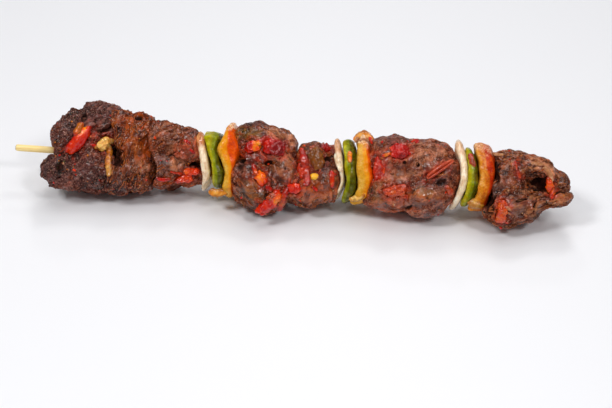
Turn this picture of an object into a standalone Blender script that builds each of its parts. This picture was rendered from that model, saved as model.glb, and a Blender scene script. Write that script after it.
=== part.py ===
"""Beef kebab: chunks of grilled beef, onion petals and pieces of sweet pepper on a bamboo skewer.

The skewer lies along +X, blunt end at -X, and the kebab rests on the plane Z = 0. Sizes in the
tables are millimetres. Each cross-section is described in the skewer's own frame, which is rolled
back by ROLL about the skewer: "rise" points up and back from the skewer, "front" forward and up.
"""

import math

import bmesh
import bpy
import numpy as np
from mathutils import Matrix, Vector, noise
from mathutils.bvhtree import BVHTree

MM = 0.001

# Driving dimensions, in millimetres.
SKEWER_START = -125.0  # the blunt end that sticks out
SKEWER_TIP = 110.0  # the point, inside the last chunk
SKEWER_DIAMETER = 3.2
SKEWER_HEIGHT = 18.0  # above the surface the kebab lies on
POINT_LENGTH = 9.0
GAP = 0.35  # between touching pieces
ROLL = math.radians(36.0)

RISE = Vector((0.0, math.sin(ROLL), math.cos(ROLL)))
FRONT = Vector((0.0, -math.cos(ROLL), math.sin(ROLL)))

# Colours as linear red, green and blue, with a roughness.
LOOKS = {
    "bamboo": ((0.75, 0.52, 0.24), 0.6),
    "charred_beef": ((0.06, 0.028, 0.022), 0.5),
    "beef": ((0.13, 0.05, 0.03), 0.45),
    "onion": ((0.75, 0.62, 0.45), 0.35),
    "green_pepper": ((0.2, 0.33, 0.02), 0.3),
    "yellow_pepper": ((0.75, 0.3, 0.03), 0.3),
    "orange_pepper": ((0.6, 0.17, 0.03), 0.3),
    "red_pepper": ((0.5, 0.03, 0.01), 0.25),
    "tomato_skin": ((0.55, 0.12, 0.05), 0.3),
    "wilted_pepper": ((0.16, 0.08, 0.01), 0.35),
    "fat": ((0.6, 0.3, 0.07), 0.35),
}

# Slices across the skewer, each with its look, the line that its middle follows, its thickness,
# and its reach up, down, to the front and to the back. Lines are (rise, x) and (rise, thickness).
SLICES = {
    "onion_1": {
        "look": "onion",
        "line": [(13, -41), (5, -37.9), (-3, -35.9), (-7, -35.3), (-13.5, -38.2)],
        "thick": [(13, 1.8), (6, 3.6), (-6, 3.6), (-13.5, 1.8)],
        "reach": (13.4, 13.9, 13.0, 12.0),
        "square": 2.0,
    },
    "green_pepper_1": {
        "look": "green_pepper",
        "line": [(13, -35.0), (5, -33.5), (0, -32.0), (-5, -29.9), (-11, -30.8)],
        "thick": [(13, 8.8), (9.5, 8.2), (6, 4.6), (0, 4.4), (-5, 5.4), (-11, 4.6)],
        "reach": (13.6, 12.0, 13.5, 13.0),
        "square": 3.4,
    },
    "yellow_pepper_1": {
        "look": "yellow_pepper",
        "line": [(17, -26.4), (8, -25.8), (1, -25.4), (-6, -25.3), (-10, -26.2), (-13, -27.6)],
        "thick": [(17, 3.0), (12, 5.6), (5, 9.4), (-3, 4.4), (-8, 4.0), (-12, 8.0), (-15, 8.4)],
        "reach": (18.0, 16.0, 14.0, 13.5),
        "square": 3.0,
    },
    "onion_2": {
        "look": "onion",
        "line": [(14, 20.4), (7, 22.2), (0, 24.2), (-5, 24.9), (-13.5, 21.4)],
        "thick": [(14, 1.8), (7, 3.2), (0, 2.0), (-5, 1.6), (-13.5, 1.2)],
        "reach": (14.2, 14.0, 13.0, 12.5),
        "square": 2.0,
    },
    "green_pepper_2": {
        "look": "green_pepper",
        "line": [(13, 25.4), (6, 27.4), (-1, 28.2), (-7, 28.7), (-14.5, 25.4)],
        "thick": [(13, 5.4), (6, 5.4), (-1, 4.6), (-7, 5.2), (-14.5, 3.4)],
        "reach": (14.2, 14.9, 13.5, 13.0),
        "square": 2.8,
    },
    "yellow_pepper_2": {
        "look": "yellow_pepper",
        "line": [(17, 32.2), (10, 32.9), (3, 33.7), (-5, 34.8), (-9, 33.9), (-14, 31.6)],
        "thick": [(17, 6.6), (10, 5.2), (0, 6.4), (-6, 5.8), (-10, 6.4), (-14, 4.6)],
        "reach": (18.2, 15.0, 14.0, 13.0),
        "square": 2.5,
    },
    "onion_3": {
        "look": "onion",
        "line": [(17, 73.8), (10, 75.4), (2, 77.5), (-5, 76.9), (-14, 72.8)],
        "thick": [(17, 2.6), (10, 3.2), (-14, 3.2)],
        "reach": (17.8, 14.3, 13.5, 13.0),
        "square": 2.0,
    },
    "green_pepper_3": {
        "look": "green_pepper",
        "line": [(14, 77.9), (8, 79.8), (2, 81.1), (-5, 80.6), (-12, 77.7)],
        "thick": [(14, 3.6), (8, 4.2), (0, 4.2), (-5, 4.2), (-12, 3.6)],
        "reach": (14.3, 12.2, 13.4, 12.5),
        "square": 2.8,
    },
    "orange_pepper_3": {
        "look": "orange_pepper",
        "line": [(15, 83.9), (9, 86.1), (2, 87.1), (-5, 86.3), (-13, 83.6)],
        "thick": [(15, 8.0), (9, 7.8), (-5, 6.6), (-10, 7.2), (-13, 6.6)],
        "reach": (16.4, 14.0, 14.2, 13.0),
        "square": 2.4,
    },
}

# Beef chunks, each with the lobes that it is grown from, as
# (x, rise, front, size along x, size along rise, size along front, turn in degrees).
CHUNKS = {
    "beef_1": {
        "look": "charred_beef",
        "triangles": 630,
        "seed": 3.0,
        "lobes": [
            (-92.5, 7, 1, 12, 12, 13.5, 0),
            (-88.5, 14.5, -3.5, 8, 8.8, 12.4, 10),
            (-83.5, 12, -3, 7, 9.6, 12, 0),
            (-99.5, 6, 2, 8, 9.5, 11, -20),
            (-98, -10, 6, 12.0, 7.0, 10.5, -8),
            (-86, -7.5, 3, 10, 10, 12, 0),
            (-91, -8.2, -7.3, 9, 8.6, 8.8, 0),
            (-82.5, 1.5, -3, 6.5, 8.5, 9.5, 0),
        ],
    },
    "beef_2": {
        "look": "beef",
        "triangles": 500,
        "seed": 11.0,
        "lobes": [
            (-77.5, 10.5, -2, 7, 9.8, 12.5, 0),
            (-69, 9.8, -1, 7.5, 9.3, 12.5, 0),
            (-71, 0, 2, 11, 13, 13.5, 0),
            (-76.5, -9.0, 4, 8, 9.2, 11, 0),
            (-67, -6.5, 3, 8, 9.4, 11, 0),
            (-73, -8.2, -7.3, 8, 8.6, 8.8, 0),
        ],
    },
    "beef_3": {
        "look": "beef",
        "triangles": 500,
        "seed": 17.0,
        "lobes": [
            (-56.5, 6.3, 0, 11, 9.8, 12.5, 0),
            (-45.5, 4.6, 1, 8, 9.4, 11, 0),
            (-58, -4.5, 3, 10, 9, 11, 0),
            (-46, -4.5, -1, 9, 7.2, 9.5, 0),
            (-54, -5.5, -6.5, 8, 8, 8, 0),
        ],
    },
    "beef_4": {
        "look": "beef",
        "triangles": 630,
        "seed": 23.0,
        "lobes": [
            (-16, 7.6, -1, 11, 10.0, 13.5, 0),
            (-6, 6.6, 0, 8.5, 11, 12.5, 0),
            (-14, -6, 4, 12, 12, 12.5, 0),
            (-10, -13, 6, 10, 8.6, 9, 0),
            (-1, -4, 3, 7, 10, 11, 0),
            (-12, -8.2, -7.3, 9, 8.6, 8.8, 0),
        ],
    },
    "beef_5": {
        "look": "beef",
        "triangles": 490,
        "seed": 31.0,
        "lobes": [
            (12, 2.5, 1, 8.5, 8.7, 11, 0),
            (8, -8, 3, 10, 9.2, 10, 0),
            (16, -6, 3, 7.5, 9, 10, 0),
            (18.5, 4, -2, 6, 7, 9, 0),
            (11, -6.5, -7, 7, 7, 8, 0),
        ],
    },
    "beef_6": {
        "look": "beef",
        "triangles": 630,
        "seed": 41.0,
        "lobes": [
            (45, 5, 0, 12, 12, 13.5, 0),
            (60, 3.5, 0, 14, 12.6, 14, 0),
            (45, -6.5, 4, 12, 10, 11, 0),
            (61, -8, 4, 10.5, 10.3, 11, 0),
            (67, 0, 2, 9, 12, 12.5, 0),
            (55, -8.2, -7.3, 13, 8.6, 8.8, 0),
        ],
    },
    "beef_7": {
        "look": "beef",
        "triangles": 700,
        "seed": 53.0,
        "lobes": [
            (97, 1.5, 0, 13, 12.6, 13.5, 0),
            (108, 0, 2, 10.5, 11.5, 12, -15),
            (96, -9.5, 6, 12, 10, 9, 0),
            (117, 1.5, 0, 5.8, 6.2, 8, -40),
            (114.6, -7.2, 6, 10.8, 2.8, 4.2, 16),
            (105, -10, 4, 9, 6.5, 9, 10),
            (100, -8.2, -7.3, 11, 8.6, 8.8, 0),
        ],
    },
}

# Where two chunks meet with nothing between them, as lines of (rise, x).
BORDERS = {
    ("beef_1", "beef_2"): [(20, -80.3), (9, -78.0), (0, -76.8), (-10, -78.2), (-18, -80.5)],
    ("beef_2", "beef_3"): [(16, -63.4), (5, -60.4), (-6, -56.6), (-12, -58.0), (-17, -61.0)],
    ("beef_4", "beef_5"): [(10, 4.8), (2, 4.4), (-8, 1.6), (-18, -0.6)],
}
ORDER = [
    "beef_1",
    "beef_2",
    "beef_3",
    "onion_1",
    "green_pepper_1",
    "yellow_pepper_1",
    "beef_4",
    "beef_5",
    "onion_2",
    "green_pepper_2",
    "yellow_pepper_2",
    "beef_6",
    "onion_3",
    "green_pepper_3",
    "orange_pepper_3",
    "beef_7",
]

# Pits in the beef, as (chunk, x, rise, radius along x, radius along rise, depth, turn in degrees).
PITS = [
    ("beef_1", -76.5, 1.5, 3.2, 5.5, 4.0, 0),
    ("beef_2", -76.0, 1.5, 3.4, 5.5, 4.0, 0),
    ("beef_3", -40.5, -1.8, 3.4, 2.2, 5.0, 10),
    ("beef_7", 108.2, -0.4, 4.6, 5.6, 9.0, 30),
]

# Pieces cooked onto the beef, as (name, look, chunk, x, rise, length, width, thickness, turn in
# degrees of the length from +X, how much of the thickness stands out of the beef).
TOPPINGS = [
    ("red_pepper_1", "red_pepper", "beef_1", -93.0, 4.6, 17.0, 5.4, 4.0, 52, 0.6),
    ("fat_1", "fat", "beef_1", -82.4, 5.2, 7.5, 5.0, 4.0, 20, 0.5),
    ("red_pepper_2", "red_pepper", "beef_3", -42.6, -5.3, 7.4, 2.8, 3.0, 6, 0.6),
    ("red_pepper_3", "red_pepper", "beef_3", -46.0, -8.8, 9.0, 3.4, 3.2, 14, 0.6),
    ("red_pepper_4", "red_pepper", "beef_4", -15.2, 7.4, 7.0, 5.2, 4.0, 15, 0.5),
    ("red_pepper_5", "red_pepper", "beef_4", -5.7, 8.0, 10.5, 7.5, 4.2, -8, 0.5),
    ("red_pepper_6", "red_pepper", "beef_4", -10.2, -6.0, 6.5, 4.6, 3.4, -40, 0.5),
    ("red_pepper_7", "red_pepper", "beef_4", -6.4, -16.6, 14.5, 6.0, 4.0, 48, 0.7),
    ("red_pepper_8", "red_pepper", "beef_5", 4.2, -9.6, 6.0, 4.4, 3.4, 20, 0.5),
    ("red_pepper_9", "red_pepper", "beef_5", 7.0, -1.0, 11.0, 4.4, 3.4, 102, 0.45),
    ("red_pepper_10", "red_pepper", "beef_5", 15.8, 9.0, 6.4, 4.4, 3.4, 20, 0.5),
    ("wilted_pepper_1", "wilted_pepper", "beef_5", 12.9, 4.6, 10.0, 6.8, 3.4, 110, 0.45),
    ("red_pepper_11", "red_pepper", "beef_6", 40.4, 1.1, 12.0, 4.4, 3.4, 95, 0.45),
    ("red_pepper_12", "red_pepper", "beef_6", 49.4, 10.0, 10.0, 7.0, 4.0, 12, 0.5),
    ("tomato_skin_1", "tomato_skin", "beef_6", 66.6, 3.0, 16.0, 3.4, 2.8, 38, 0.7),
    ("red_pepper_13", "red_pepper", "beef_6", 49.0, -7.6, 11.0, 5.4, 3.4, 12, 0.45),
    ("red_pepper_14", "red_pepper", "beef_7", 94.7, -13.3, 11.0, 5.0, 4.0, 85, 0.5),
    ("red_pepper_15", "red_pepper", "beef_7", 114.4, -0.8, 7.5, 3.2, 3.0, 110, 0.55),
]


def place(x, rise, front):
    """A point of the skewer's frame, given in millimetres, as a world point in metres."""
    axis = Vector((x, 0.0, SKEWER_HEIGHT))
    return (axis + RISE * rise + FRONT * front) * MM


def rises(points):
    """How far each world point, a row of an array, lies from the skewer along RISE."""
    offsets = points / MM - np.array((0.0, 0.0, SKEWER_HEIGHT))
    return offsets @ np.array(RISE)


def smooth_line(points):
    """A function through (rise, value) points: a cubic with a flat finish at both ends."""
    ordered = sorted(points)
    at = np.array([p[0] for p in ordered], float)
    value = np.array([p[1] for p in ordered], float)
    slopes = np.gradient(value, at)

    def along(rise):
        inside = np.clip(rise, at[0], at[-1])
        i = np.clip(np.searchsorted(at, inside, side="right") - 1, 0, len(at) - 2)
        span = at[i + 1] - at[i]
        t = (inside - at[i]) / span
        return (
            value[i] * (1 + 2 * t) * (1 - t) ** 2
            + slopes[i] * span * t * (1 - t) ** 2
            + value[i + 1] * t * t * (3 - 2 * t)
            + slopes[i + 1] * span * t * t * (t - 1)
        )

    return along


def slice_face(name, side):
    """x of a slice's face against rise, in millimetres. side is -1 for the face towards -X."""
    line = smooth_line(SLICES[name]["line"])
    thick = smooth_line(SLICES[name]["thick"])
    before = ORDER[ORDER.index(name) - 1]
    if side == 1 or before not in SLICES:
        return lambda rise: line(rise) + side * thick(rise) / 2
    pressing = slice_face(before, 1)
    return lambda rise: np.maximum(line(rise) - thick(rise) / 2, pressing(rise) + GAP * 2)


def walls_of(name):
    """The two surfaces, as x against rise, that a chunk stays between. None at the open end."""
    i = ORDER.index(name)
    found = []
    for step in (-1, 1):
        if not 0 <= i + step < len(ORDER):
            found.append(None)
            continue
        other = ORDER[i + step]
        if other in SLICES:
            found.append(slice_face(other, -step))
        else:
            found.append(smooth_line(BORDERS[tuple(sorted((name, other)))]))
    return found


def coords(mesh):
    flat = np.empty(len(mesh.vertices) * 3, np.float64)
    mesh.vertices.foreach_get("co", flat)
    return flat.reshape(-1, 3)


def set_coords(mesh, points):
    mesh.vertices.foreach_set("co", points.astype(np.float32).ravel())
    mesh.update()


def material(look):
    """The Principled material of that name, made once."""
    found = bpy.data.materials.get(look)
    if found:
        return found
    colour, roughness = LOOKS[look]
    made = bpy.data.materials.new(look)
    made.use_nodes = True
    shader = made.node_tree.nodes["Principled BSDF"]
    shader.inputs["Base Color"].default_value = (*colour, 1.0)
    shader.inputs["Roughness"].default_value = roughness
    shader.inputs["Metallic"].default_value = 0.0
    return made


def new_object(name, mesh, look=None):
    obj = bpy.data.objects.new(name, mesh)
    bpy.context.scene.collection.objects.link(obj)
    if look:
        mesh.materials.append(material(look))
    return obj


def from_bmesh(name, bm, look=None):
    mesh = bpy.data.meshes.new(name)
    bm.to_mesh(mesh)
    bm.free()
    return new_object(name, mesh, look)


def apply_modifiers(obj):
    """Replaces the object's mesh by what its modifiers make of it."""
    graph = bpy.context.evaluated_depsgraph_get()
    made = bpy.data.meshes.new_from_object(obj.evaluated_get(graph))
    obj.modifiers.clear()
    obj.data = made


def move_origin(obj, x):
    """Puts the origin on the skewer at x without moving the shape, and parents it to the kebab."""
    origin = Vector((x, 0.0, SKEWER_HEIGHT)) * MM
    obj.data.transform(Matrix.Translation(-origin))
    obj.location = origin
    obj.parent = bpy.data.objects["kebab"]


def as_helper(obj):
    obj.hide_render = True
    obj.display_type = "WIRE"


def cut(obj, cutter):
    boolean = obj.modifiers.new("cut_by_" + cutter.name, "BOOLEAN")
    boolean.operation = "DIFFERENCE"
    boolean.object = cutter


def reduce_to(obj, triangles):
    decimate = obj.modifiers.new("reduce", "DECIMATE")
    decimate.ratio = triangles / sum(len(p.vertices) - 2 for p in obj.data.polygons)
    decimate.use_collapse_triangulate = True
    apply_modifiers(obj)


def soft_min(value, limit, softness):
    """value where it is well below limit, and just under limit where it would pass it."""
    return limit - softness * np.logaddexp(0.0, (limit - value) / softness)


def lathe_along_x(name, rings, sides, look=None):
    """A closed solid of (x, radius) rings about the skewer, with a flat cap on each end."""
    bm = bmesh.new()
    loops = []
    for x, radius in rings:
        turns = (2 * math.pi * k / sides for k in range(sides))
        spots = [place(x, radius * math.cos(a), radius * math.sin(a)) for a in turns]
        loops.append([bm.verts.new(spot) for spot in spots])
    for first, second in zip(loops, loops[1:]):
        for k in range(sides):
            n = (k + 1) % sides
            bm.faces.new((first[k], first[n], second[n], second[k]))
    bm.faces.new(loops[0])
    bm.faces.new(loops[-1])
    bmesh.ops.recalc_face_normals(bm, faces=bm.faces)
    return from_bmesh(name, bm, look)


def make_skewer():
    """The bamboo stick, with a chamfered blunt end and a tapered point."""
    radius = SKEWER_DIAMETER / 2
    rings = [
        (SKEWER_START, radius * 0.72),
        (SKEWER_START + 0.5, radius),
        (SKEWER_TIP - POINT_LENGTH, radius),
        (SKEWER_TIP, radius * 0.2),
    ]
    stick = lathe_along_x("skewer", rings, sides=12, look="bamboo")
    stick.data.shade_smooth()
    stick.data.set_sharp_from_angle(angle=math.radians(40))
    move_origin(stick, 0.0)
    return stick


def make_skewer_cutter():
    """The hole that the skewer takes through the beef: its own shape, larger by the gap."""
    radius = SKEWER_DIAMETER / 2 + GAP
    rings = [
        (SKEWER_START - 5, radius),
        (SKEWER_TIP - POINT_LENGTH, radius),
        (SKEWER_TIP + GAP, radius * 0.4),
    ]
    cutter = lathe_along_x("skewer_hole", rings, sides=12)
    as_helper(cutter)
    return cutter


def outline(spec, angle, seed):
    """(rise, front) of a slice's edge at an angle round the skewer, as a rounded quadrilateral."""
    up, down, front, back = spec["reach"]
    c, s = math.cos(angle), math.sin(angle)
    height = up if c > 0 else down
    depth = front if s > 0 else back
    power = spec["square"]
    radius = (abs(c / height) ** power + abs(s / depth) ** power) ** (-1 / power)
    uneven = noise.noise(Vector((1.7 * c, 1.7 * s, seed)))
    radius *= 1 - 0.06 * abs(uneven)
    return radius * c, radius * s


def make_slice(name, seed):
    """A slice threaded on the skewer: two curled faces with a rounded edge and a round hole."""
    spec = SLICES[name]
    low, high = slice_face(name, -1), slice_face(name, 1)
    hole = SKEWER_DIAMETER / 2 + GAP
    sides = 16
    floor = -SKEWER_HEIGHT + GAP

    def ring(bm, share, face):
        """One loop of vertices, share of the way out. face 0 is the -X face and 1 the +X face."""
        loop = []
        for k in range(sides):
            angle = 2 * math.pi * k / sides
            rim = outline(spec, angle, seed)
            inner = (hole * math.cos(angle), hole * math.sin(angle))
            rise = inner[0] + (rim[0] - inner[0]) * share
            front = inner[1] + (rim[1] - inner[1]) * share
            below = floor - (rise * RISE.z + front * FRONT.z)
            if below > 0:
                rise += below * RISE.z
                front += below * FRONT.z
            x_low, x_high = float(low(rise)), float(high(rise))
            x = x_low + (x_high - x_low) * face
            loop.append(bm.verts.new(place(x, rise, front)))
        return loop

    bm = bmesh.new()
    loops = [
        ring(bm, 0.0, 0.0),
        ring(bm, 0.4, 0.0),
        ring(bm, 0.75, 0.0),
        ring(bm, 0.95, 0.08),
        ring(bm, 1.0, 0.5),
        ring(bm, 0.95, 0.92),
        ring(bm, 0.75, 1.0),
        ring(bm, 0.4, 1.0),
        ring(bm, 0.0, 1.0),
    ]
    for first, second in zip(loops, loops[1:] + loops[:1]):
        for k in range(sides):
            n = (k + 1) % sides
            bm.faces.new((first[k], first[n], second[n], second[k]))
    bmesh.ops.recalc_face_normals(bm, faces=bm.faces)
    bmesh.ops.triangulate(bm, faces=bm.faces)
    made = from_bmesh(name, bm, spec["look"])
    made.data.shade_smooth()
    made.data.set_sharp_from_angle(angle=math.radians(50))
    move_origin(made, float(smooth_line(spec["line"])(0.0)))
    return made


def lobe_matrix(x, rise, front, size_x, size_rise, size_front, turn):
    """Places a unit sphere as a lobe: its sizes, its turn about FRONT, and its centre."""
    axes = Matrix((Vector((1, 0, 0)), RISE, FRONT)).transposed().to_4x4()
    spin = Matrix.Rotation(math.radians(turn), 4, "Z")
    size = Matrix.Diagonal((size_x * MM, size_rise * MM, size_front * MM, 1.0))
    return Matrix.Translation(place(x, rise, front)) @ axes @ spin @ size


def grow_lobes(name, lobes):
    """One skin over all the lobes, with the creases between them softened."""
    bm = bmesh.new()
    for lobe in lobes:
        bmesh.ops.create_icosphere(bm, subdivisions=4, radius=1.0, matrix=lobe_matrix(*lobe))
    obj = from_bmesh(name, bm)
    remesh = obj.modifiers.new("skin", "REMESH")
    remesh.mode = "VOXEL"
    remesh.voxel_size = 1.1 * MM
    soften = obj.modifiers.new("soften", "SMOOTH")
    soften.factor = 0.5
    soften.iterations = 5
    apply_modifiers(obj)
    return obj


def lump(obj, seed):
    """Moves the skin in and out, as beef does when it tightens: knobs with creases between."""
    mesh = obj.data
    points = coords(mesh)
    normals = np.array([v.normal for v in mesh.vertices])
    offset = Vector((seed, seed * 0.37, -seed))
    depth = np.empty(len(points))
    for i, point in enumerate(points):
        at = Vector(point) / MM
        knob = noise.noise(at / 9.0 + offset)
        crease = 1 - abs(noise.noise(at / 6.0 - offset)) * 2
        depth[i] = 1.5 * knob - 1.0 * max(crease, 0.0) ** 2 + 0.6
    set_coords(mesh, points + normals * depth[:, None] * MM)


def dig(obj, pit):
    """Pushes the front of the chunk in, under an ellipse, as a torn fold leaves it."""
    _, x, rise, wide, tall, depth, turn = pit
    points = coords(obj.data)
    dx = points[:, 0] / MM - x
    dr = rises(points) - rise
    c, s = math.cos(math.radians(turn)), math.sin(math.radians(turn))
    far = ((dx * c + dr * s) / wide) ** 2 + ((dr * c - dx * s) / tall) ** 2
    fronts = (points / MM - np.array((0, 0, SKEWER_HEIGHT))) @ np.array(FRONT)
    sunk = depth * np.exp(-(far**1.5)) * (fronts > 2.0)
    set_coords(obj.data, points - np.array(FRONT) * sunk[:, None] * MM)


def squeeze(obj, name):
    """Presses the chunk flat against its neighbours on the skewer and against the plate."""
    points = coords(obj.data)
    rise = rises(points)
    low, high = walls_of(name)
    x = points[:, 0] / MM
    if low:
        x = -soft_min(-x, -(low(rise) + GAP / 2 + 0.25), 0.6)
    if high:
        x = soft_min(x, high(rise) - GAP / 2 - 0.25, 0.6)
    points[:, 0] = x * MM
    points[:, 2] = np.maximum(points[:, 2], 0.0)
    set_coords(obj.data, points)


def settle(obj):
    """Brings what is left a hair off the plate down onto it, so that the foot is truly flat."""
    points = coords(obj.data)
    points[:, 2] = np.where(points[:, 2] < 0.35 * MM, 0.0, points[:, 2])
    set_coords(obj.data, points)


def make_chunk(name):
    """A chunk of beef: lobes under one skin, lumps and pits, pressed against its neighbours."""
    spec = CHUNKS[name]
    obj = grow_lobes(name, spec["lobes"])
    lump(obj, spec["seed"])
    for pit in PITS:
        if pit[0] == name:
            dig(obj, pit)
    squeeze(obj, name)
    reduce_to(obj, spec["triangles"])
    settle(obj)
    obj.data.materials.append(material(spec["look"]))
    obj.data.shade_smooth()
    return obj


def surface_spot(chunk, x, rise):
    """Where a line from the front meets the chunk, with the outward normal there."""
    tree = BVHTree.FromObject(chunk, bpy.context.evaluated_depsgraph_get())
    spot, normal, _, _ = tree.ray_cast(place(x, rise, 60.0), -FRONT)
    return spot, normal


def make_topping(entry, chunk, seed):
    """A piece cooked onto the beef, and a cutter that leaves its bed in the chunk."""
    name, look, _, x, rise, length, width, thickness, turn, proud = entry
    spot, normal = surface_spot(chunk, x, rise)
    normal = (normal + FRONT * 0.6).normalized()
    lean = Vector((math.cos(math.radians(turn)), 0, 0)) + RISE * math.sin(math.radians(turn))
    along = (lean - normal * lean.dot(normal)).normalized()
    across = normal.cross(along)
    axes = Matrix((along, across, normal)).transposed().to_4x4()
    frame = Matrix.Translation(spot + normal * thickness * (proud - 0.5) * MM) @ axes
    bm = bmesh.new()
    bmesh.ops.create_icosphere(bm, subdivisions=2, radius=1.0)
    for vert in bm.verts:
        knob = noise.noise(vert.co * 1.6 + Vector((seed, 0, seed)))
        blunt = Vector(math.copysign(abs(c) ** 0.75, c) for c in vert.co)
        vert.co = blunt * (0.94 + 0.32 * knob)
        vert.co.z -= 0.35 * vert.co.x**2
    topping = from_bmesh(name, bm, look)
    reduce_to(topping, 54)
    bed = new_object(name + "_bed", topping.data.copy())
    for item, spare in ((topping, 0.0), (bed, GAP * 1.3)):
        sides = [(side / 2 + spare) * MM for side in (length, width, thickness)]
        item.data.transform(frame @ Matrix.Diagonal((*sides, 1.0)))
    points = coords(topping.data)
    points[:, 2] = np.maximum(points[:, 2], GAP * MM)
    set_coords(topping.data, points)
    topping.data.shade_smooth()
    as_helper(bed)
    cut(chunk, bed)
    move_origin(topping, x)
    return topping


def clear_scene():
    for obj in list(bpy.data.objects):
        bpy.data.objects.remove(obj)


def main():
    clear_scene()
    root = bpy.data.objects.new("kebab", None)
    bpy.context.scene.collection.objects.link(root)
    make_skewer()
    hole = make_skewer_cutter()
    for number, name in enumerate(SLICES):
        make_slice(name, seed=float(number) * 2.3)
    chunks = {name: make_chunk(name) for name in CHUNKS}
    for number, entry in enumerate(TOPPINGS):
        make_topping(entry, chunks[entry[2]], seed=5.0 + 1.9 * number)
    for chunk in chunks.values():
        cut(chunk, hole)


main()
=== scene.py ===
"""The looks of the beef kebab: torn and browned beef, onion, sweet pepper and bamboo."""

import itertools
import math

import bmesh
import bpy
import numpy as np
from mathutils import Matrix, Vector
from mathutils.bvhtree import BVHTree
from mathutils.kdtree import KDTree


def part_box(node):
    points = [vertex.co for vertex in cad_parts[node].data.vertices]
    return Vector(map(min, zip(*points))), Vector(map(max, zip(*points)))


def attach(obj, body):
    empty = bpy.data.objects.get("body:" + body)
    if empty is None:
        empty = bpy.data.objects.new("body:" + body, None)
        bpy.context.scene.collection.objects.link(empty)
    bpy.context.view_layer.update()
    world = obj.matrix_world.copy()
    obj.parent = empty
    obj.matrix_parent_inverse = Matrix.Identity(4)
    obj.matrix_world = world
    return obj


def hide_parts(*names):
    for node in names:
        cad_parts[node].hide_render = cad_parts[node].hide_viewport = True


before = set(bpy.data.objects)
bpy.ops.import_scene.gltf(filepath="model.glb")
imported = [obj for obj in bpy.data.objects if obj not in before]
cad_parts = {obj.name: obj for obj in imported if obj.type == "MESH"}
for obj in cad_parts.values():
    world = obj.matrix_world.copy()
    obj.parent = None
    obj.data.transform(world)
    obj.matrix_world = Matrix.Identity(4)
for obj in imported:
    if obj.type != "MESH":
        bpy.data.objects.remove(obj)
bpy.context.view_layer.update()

MM = 0.001
ROLL = math.radians(36.0)  # how far the shown side of the kebab looks up
RISE = Vector((0.0, math.sin(ROLL), math.cos(ROLL)))
FRONT = Vector((0.0, -math.cos(ROLL), math.sin(ROLL)))
SKEWER_LOW, SKEWER_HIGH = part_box("skewer")
AXIS = (SKEWER_LOW + SKEWER_HIGH) / 2
AXIS.x = 0.0
COARSER = 1.0
# Millimetres. One subdivision halves each again, apart from the skewer's.
BEEF_VOXEL = 0.64 * COARSER
SLICE_VOXEL = 0.7 * COARSER
TOPPING_VOXEL = 0.4 * COARSER
SKEWER_VOXEL = 0.35


def nodes_named(*starts):
    return sorted(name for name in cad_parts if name.startswith(starts))


CHUNKS = nodes_named("beef")
SLICES = nodes_named("onion", "green", "yellow", "orange")
TOPPINGS = nodes_named("red", "tomato", "wilted", "fat")

# ---- Noise on arrays of points, in millimetres ----

DICE = np.random.default_rng(7)
DIRECTIONS = DICE.normal(size=(256, 3))
DIRECTIONS /= np.linalg.norm(DIRECTIONS, axis=1)[:, None]
SPOTS = DICE.random(size=(4096, 3))
CORNERS = np.array(list(itertools.product((0, 1), repeat=3)))
AROUND = np.array(list(itertools.product((-1, 0, 1), repeat=3)))


def scrambled(cells, seed):
    """One pseudo-random whole number for each row of whole numbers."""
    mixed = cells[:, 0] * 73856093 ^ cells[:, 1] * 19349663 ^ cells[:, 2] * 83492791
    mixed = (mixed + int(seed) * 9176) & 0xFFFFFFFF
    mixed = ((mixed ^ (mixed >> 15)) * 2246822519) & 0xFFFFFFFF
    mixed = ((mixed ^ (mixed >> 13)) * 3266489917) & 0xFFFFFFFF
    return mixed ^ (mixed >> 16)


def waves(points, seed=0):
    """Gradient noise, from about -1 to 1, with features one unit apart."""
    base = np.floor(points).astype(np.int64)
    part = points - base
    ease = part**3 * (part * (part * 6 - 15) + 10)
    total = np.zeros(len(points))
    for corner in CORNERS:
        pull = DIRECTIONS[scrambled(base + corner, seed) & 255]
        share = np.prod(np.where(corner, ease, 1 - ease), axis=1)
        total += share * np.einsum("ij,ij->i", pull, part - corner)
    return total * 1.6


def crests(points, seed=0):
    """Noise with sharp ridges, which are 1."""
    return 1 - 2 * np.abs(waves(points, seed))


def layered(points, octaves, seed=0, gain=0.5):
    """Noise of several sizes, each half the one before."""
    total = np.zeros(len(points))
    for octave in range(octaves):
        total += gain**octave * waves(points * 2.0**octave, seed + octave * 17)
    return total


def drift(points, seed=0):
    """Noise that is a vector, to bend the space of other noise."""
    return np.stack([waves(points, seed + 101 * axis) for axis in range(3)], axis=1)


def pebbles(points, seed=0):
    """Points scattered one unit apart: the distances to the nearest two, and the nearest's lot,
    a number from 0 to 1 that is its own."""
    base = np.floor(points).astype(np.int64)
    nearest = np.full(len(points), 9.0)
    second = np.full(len(points), 9.0)
    lot = np.zeros(len(points))
    for step in AROUND:
        cell = base + step
        mixed = scrambled(cell, seed)
        far = np.linalg.norm(points - cell - SPOTS[mixed & 4095], axis=1)
        closer = far < nearest
        second = np.where(closer, nearest, np.minimum(second, far))
        lot = np.where(closer, ((mixed >> 12) & 1023) / 1023, lot)
        nearest = np.minimum(nearest, far)
    return nearest, second, lot


def ramp(values, low, high):
    """0 below low, 1 above high, and smooth between. low may be the larger."""
    t = np.clip((values - low) / (high - low), 0.0, 1.0)
    return t * t * (3 - 2 * t)


# ---- Meshes as arrays ----


def vertex_rows(mesh, what):
    flat = np.empty(len(mesh.vertices) * 3, np.float32)
    mesh.vertices.foreach_get(what, flat)
    return flat.reshape(-1, 3).astype(np.float64)


def coords(mesh):
    return vertex_rows(mesh, "co")


def normals_of(mesh):
    return vertex_rows(mesh, "normal")


def set_coords(mesh, points):
    mesh.vertices.foreach_set("co", points.astype(np.float32).ravel())
    mesh.update()


def edges_of(mesh):
    flat = np.empty(len(mesh.edges) * 2, np.int32)
    mesh.edges.foreach_get("vertices", flat)
    return flat.reshape(-1, 2)


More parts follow.
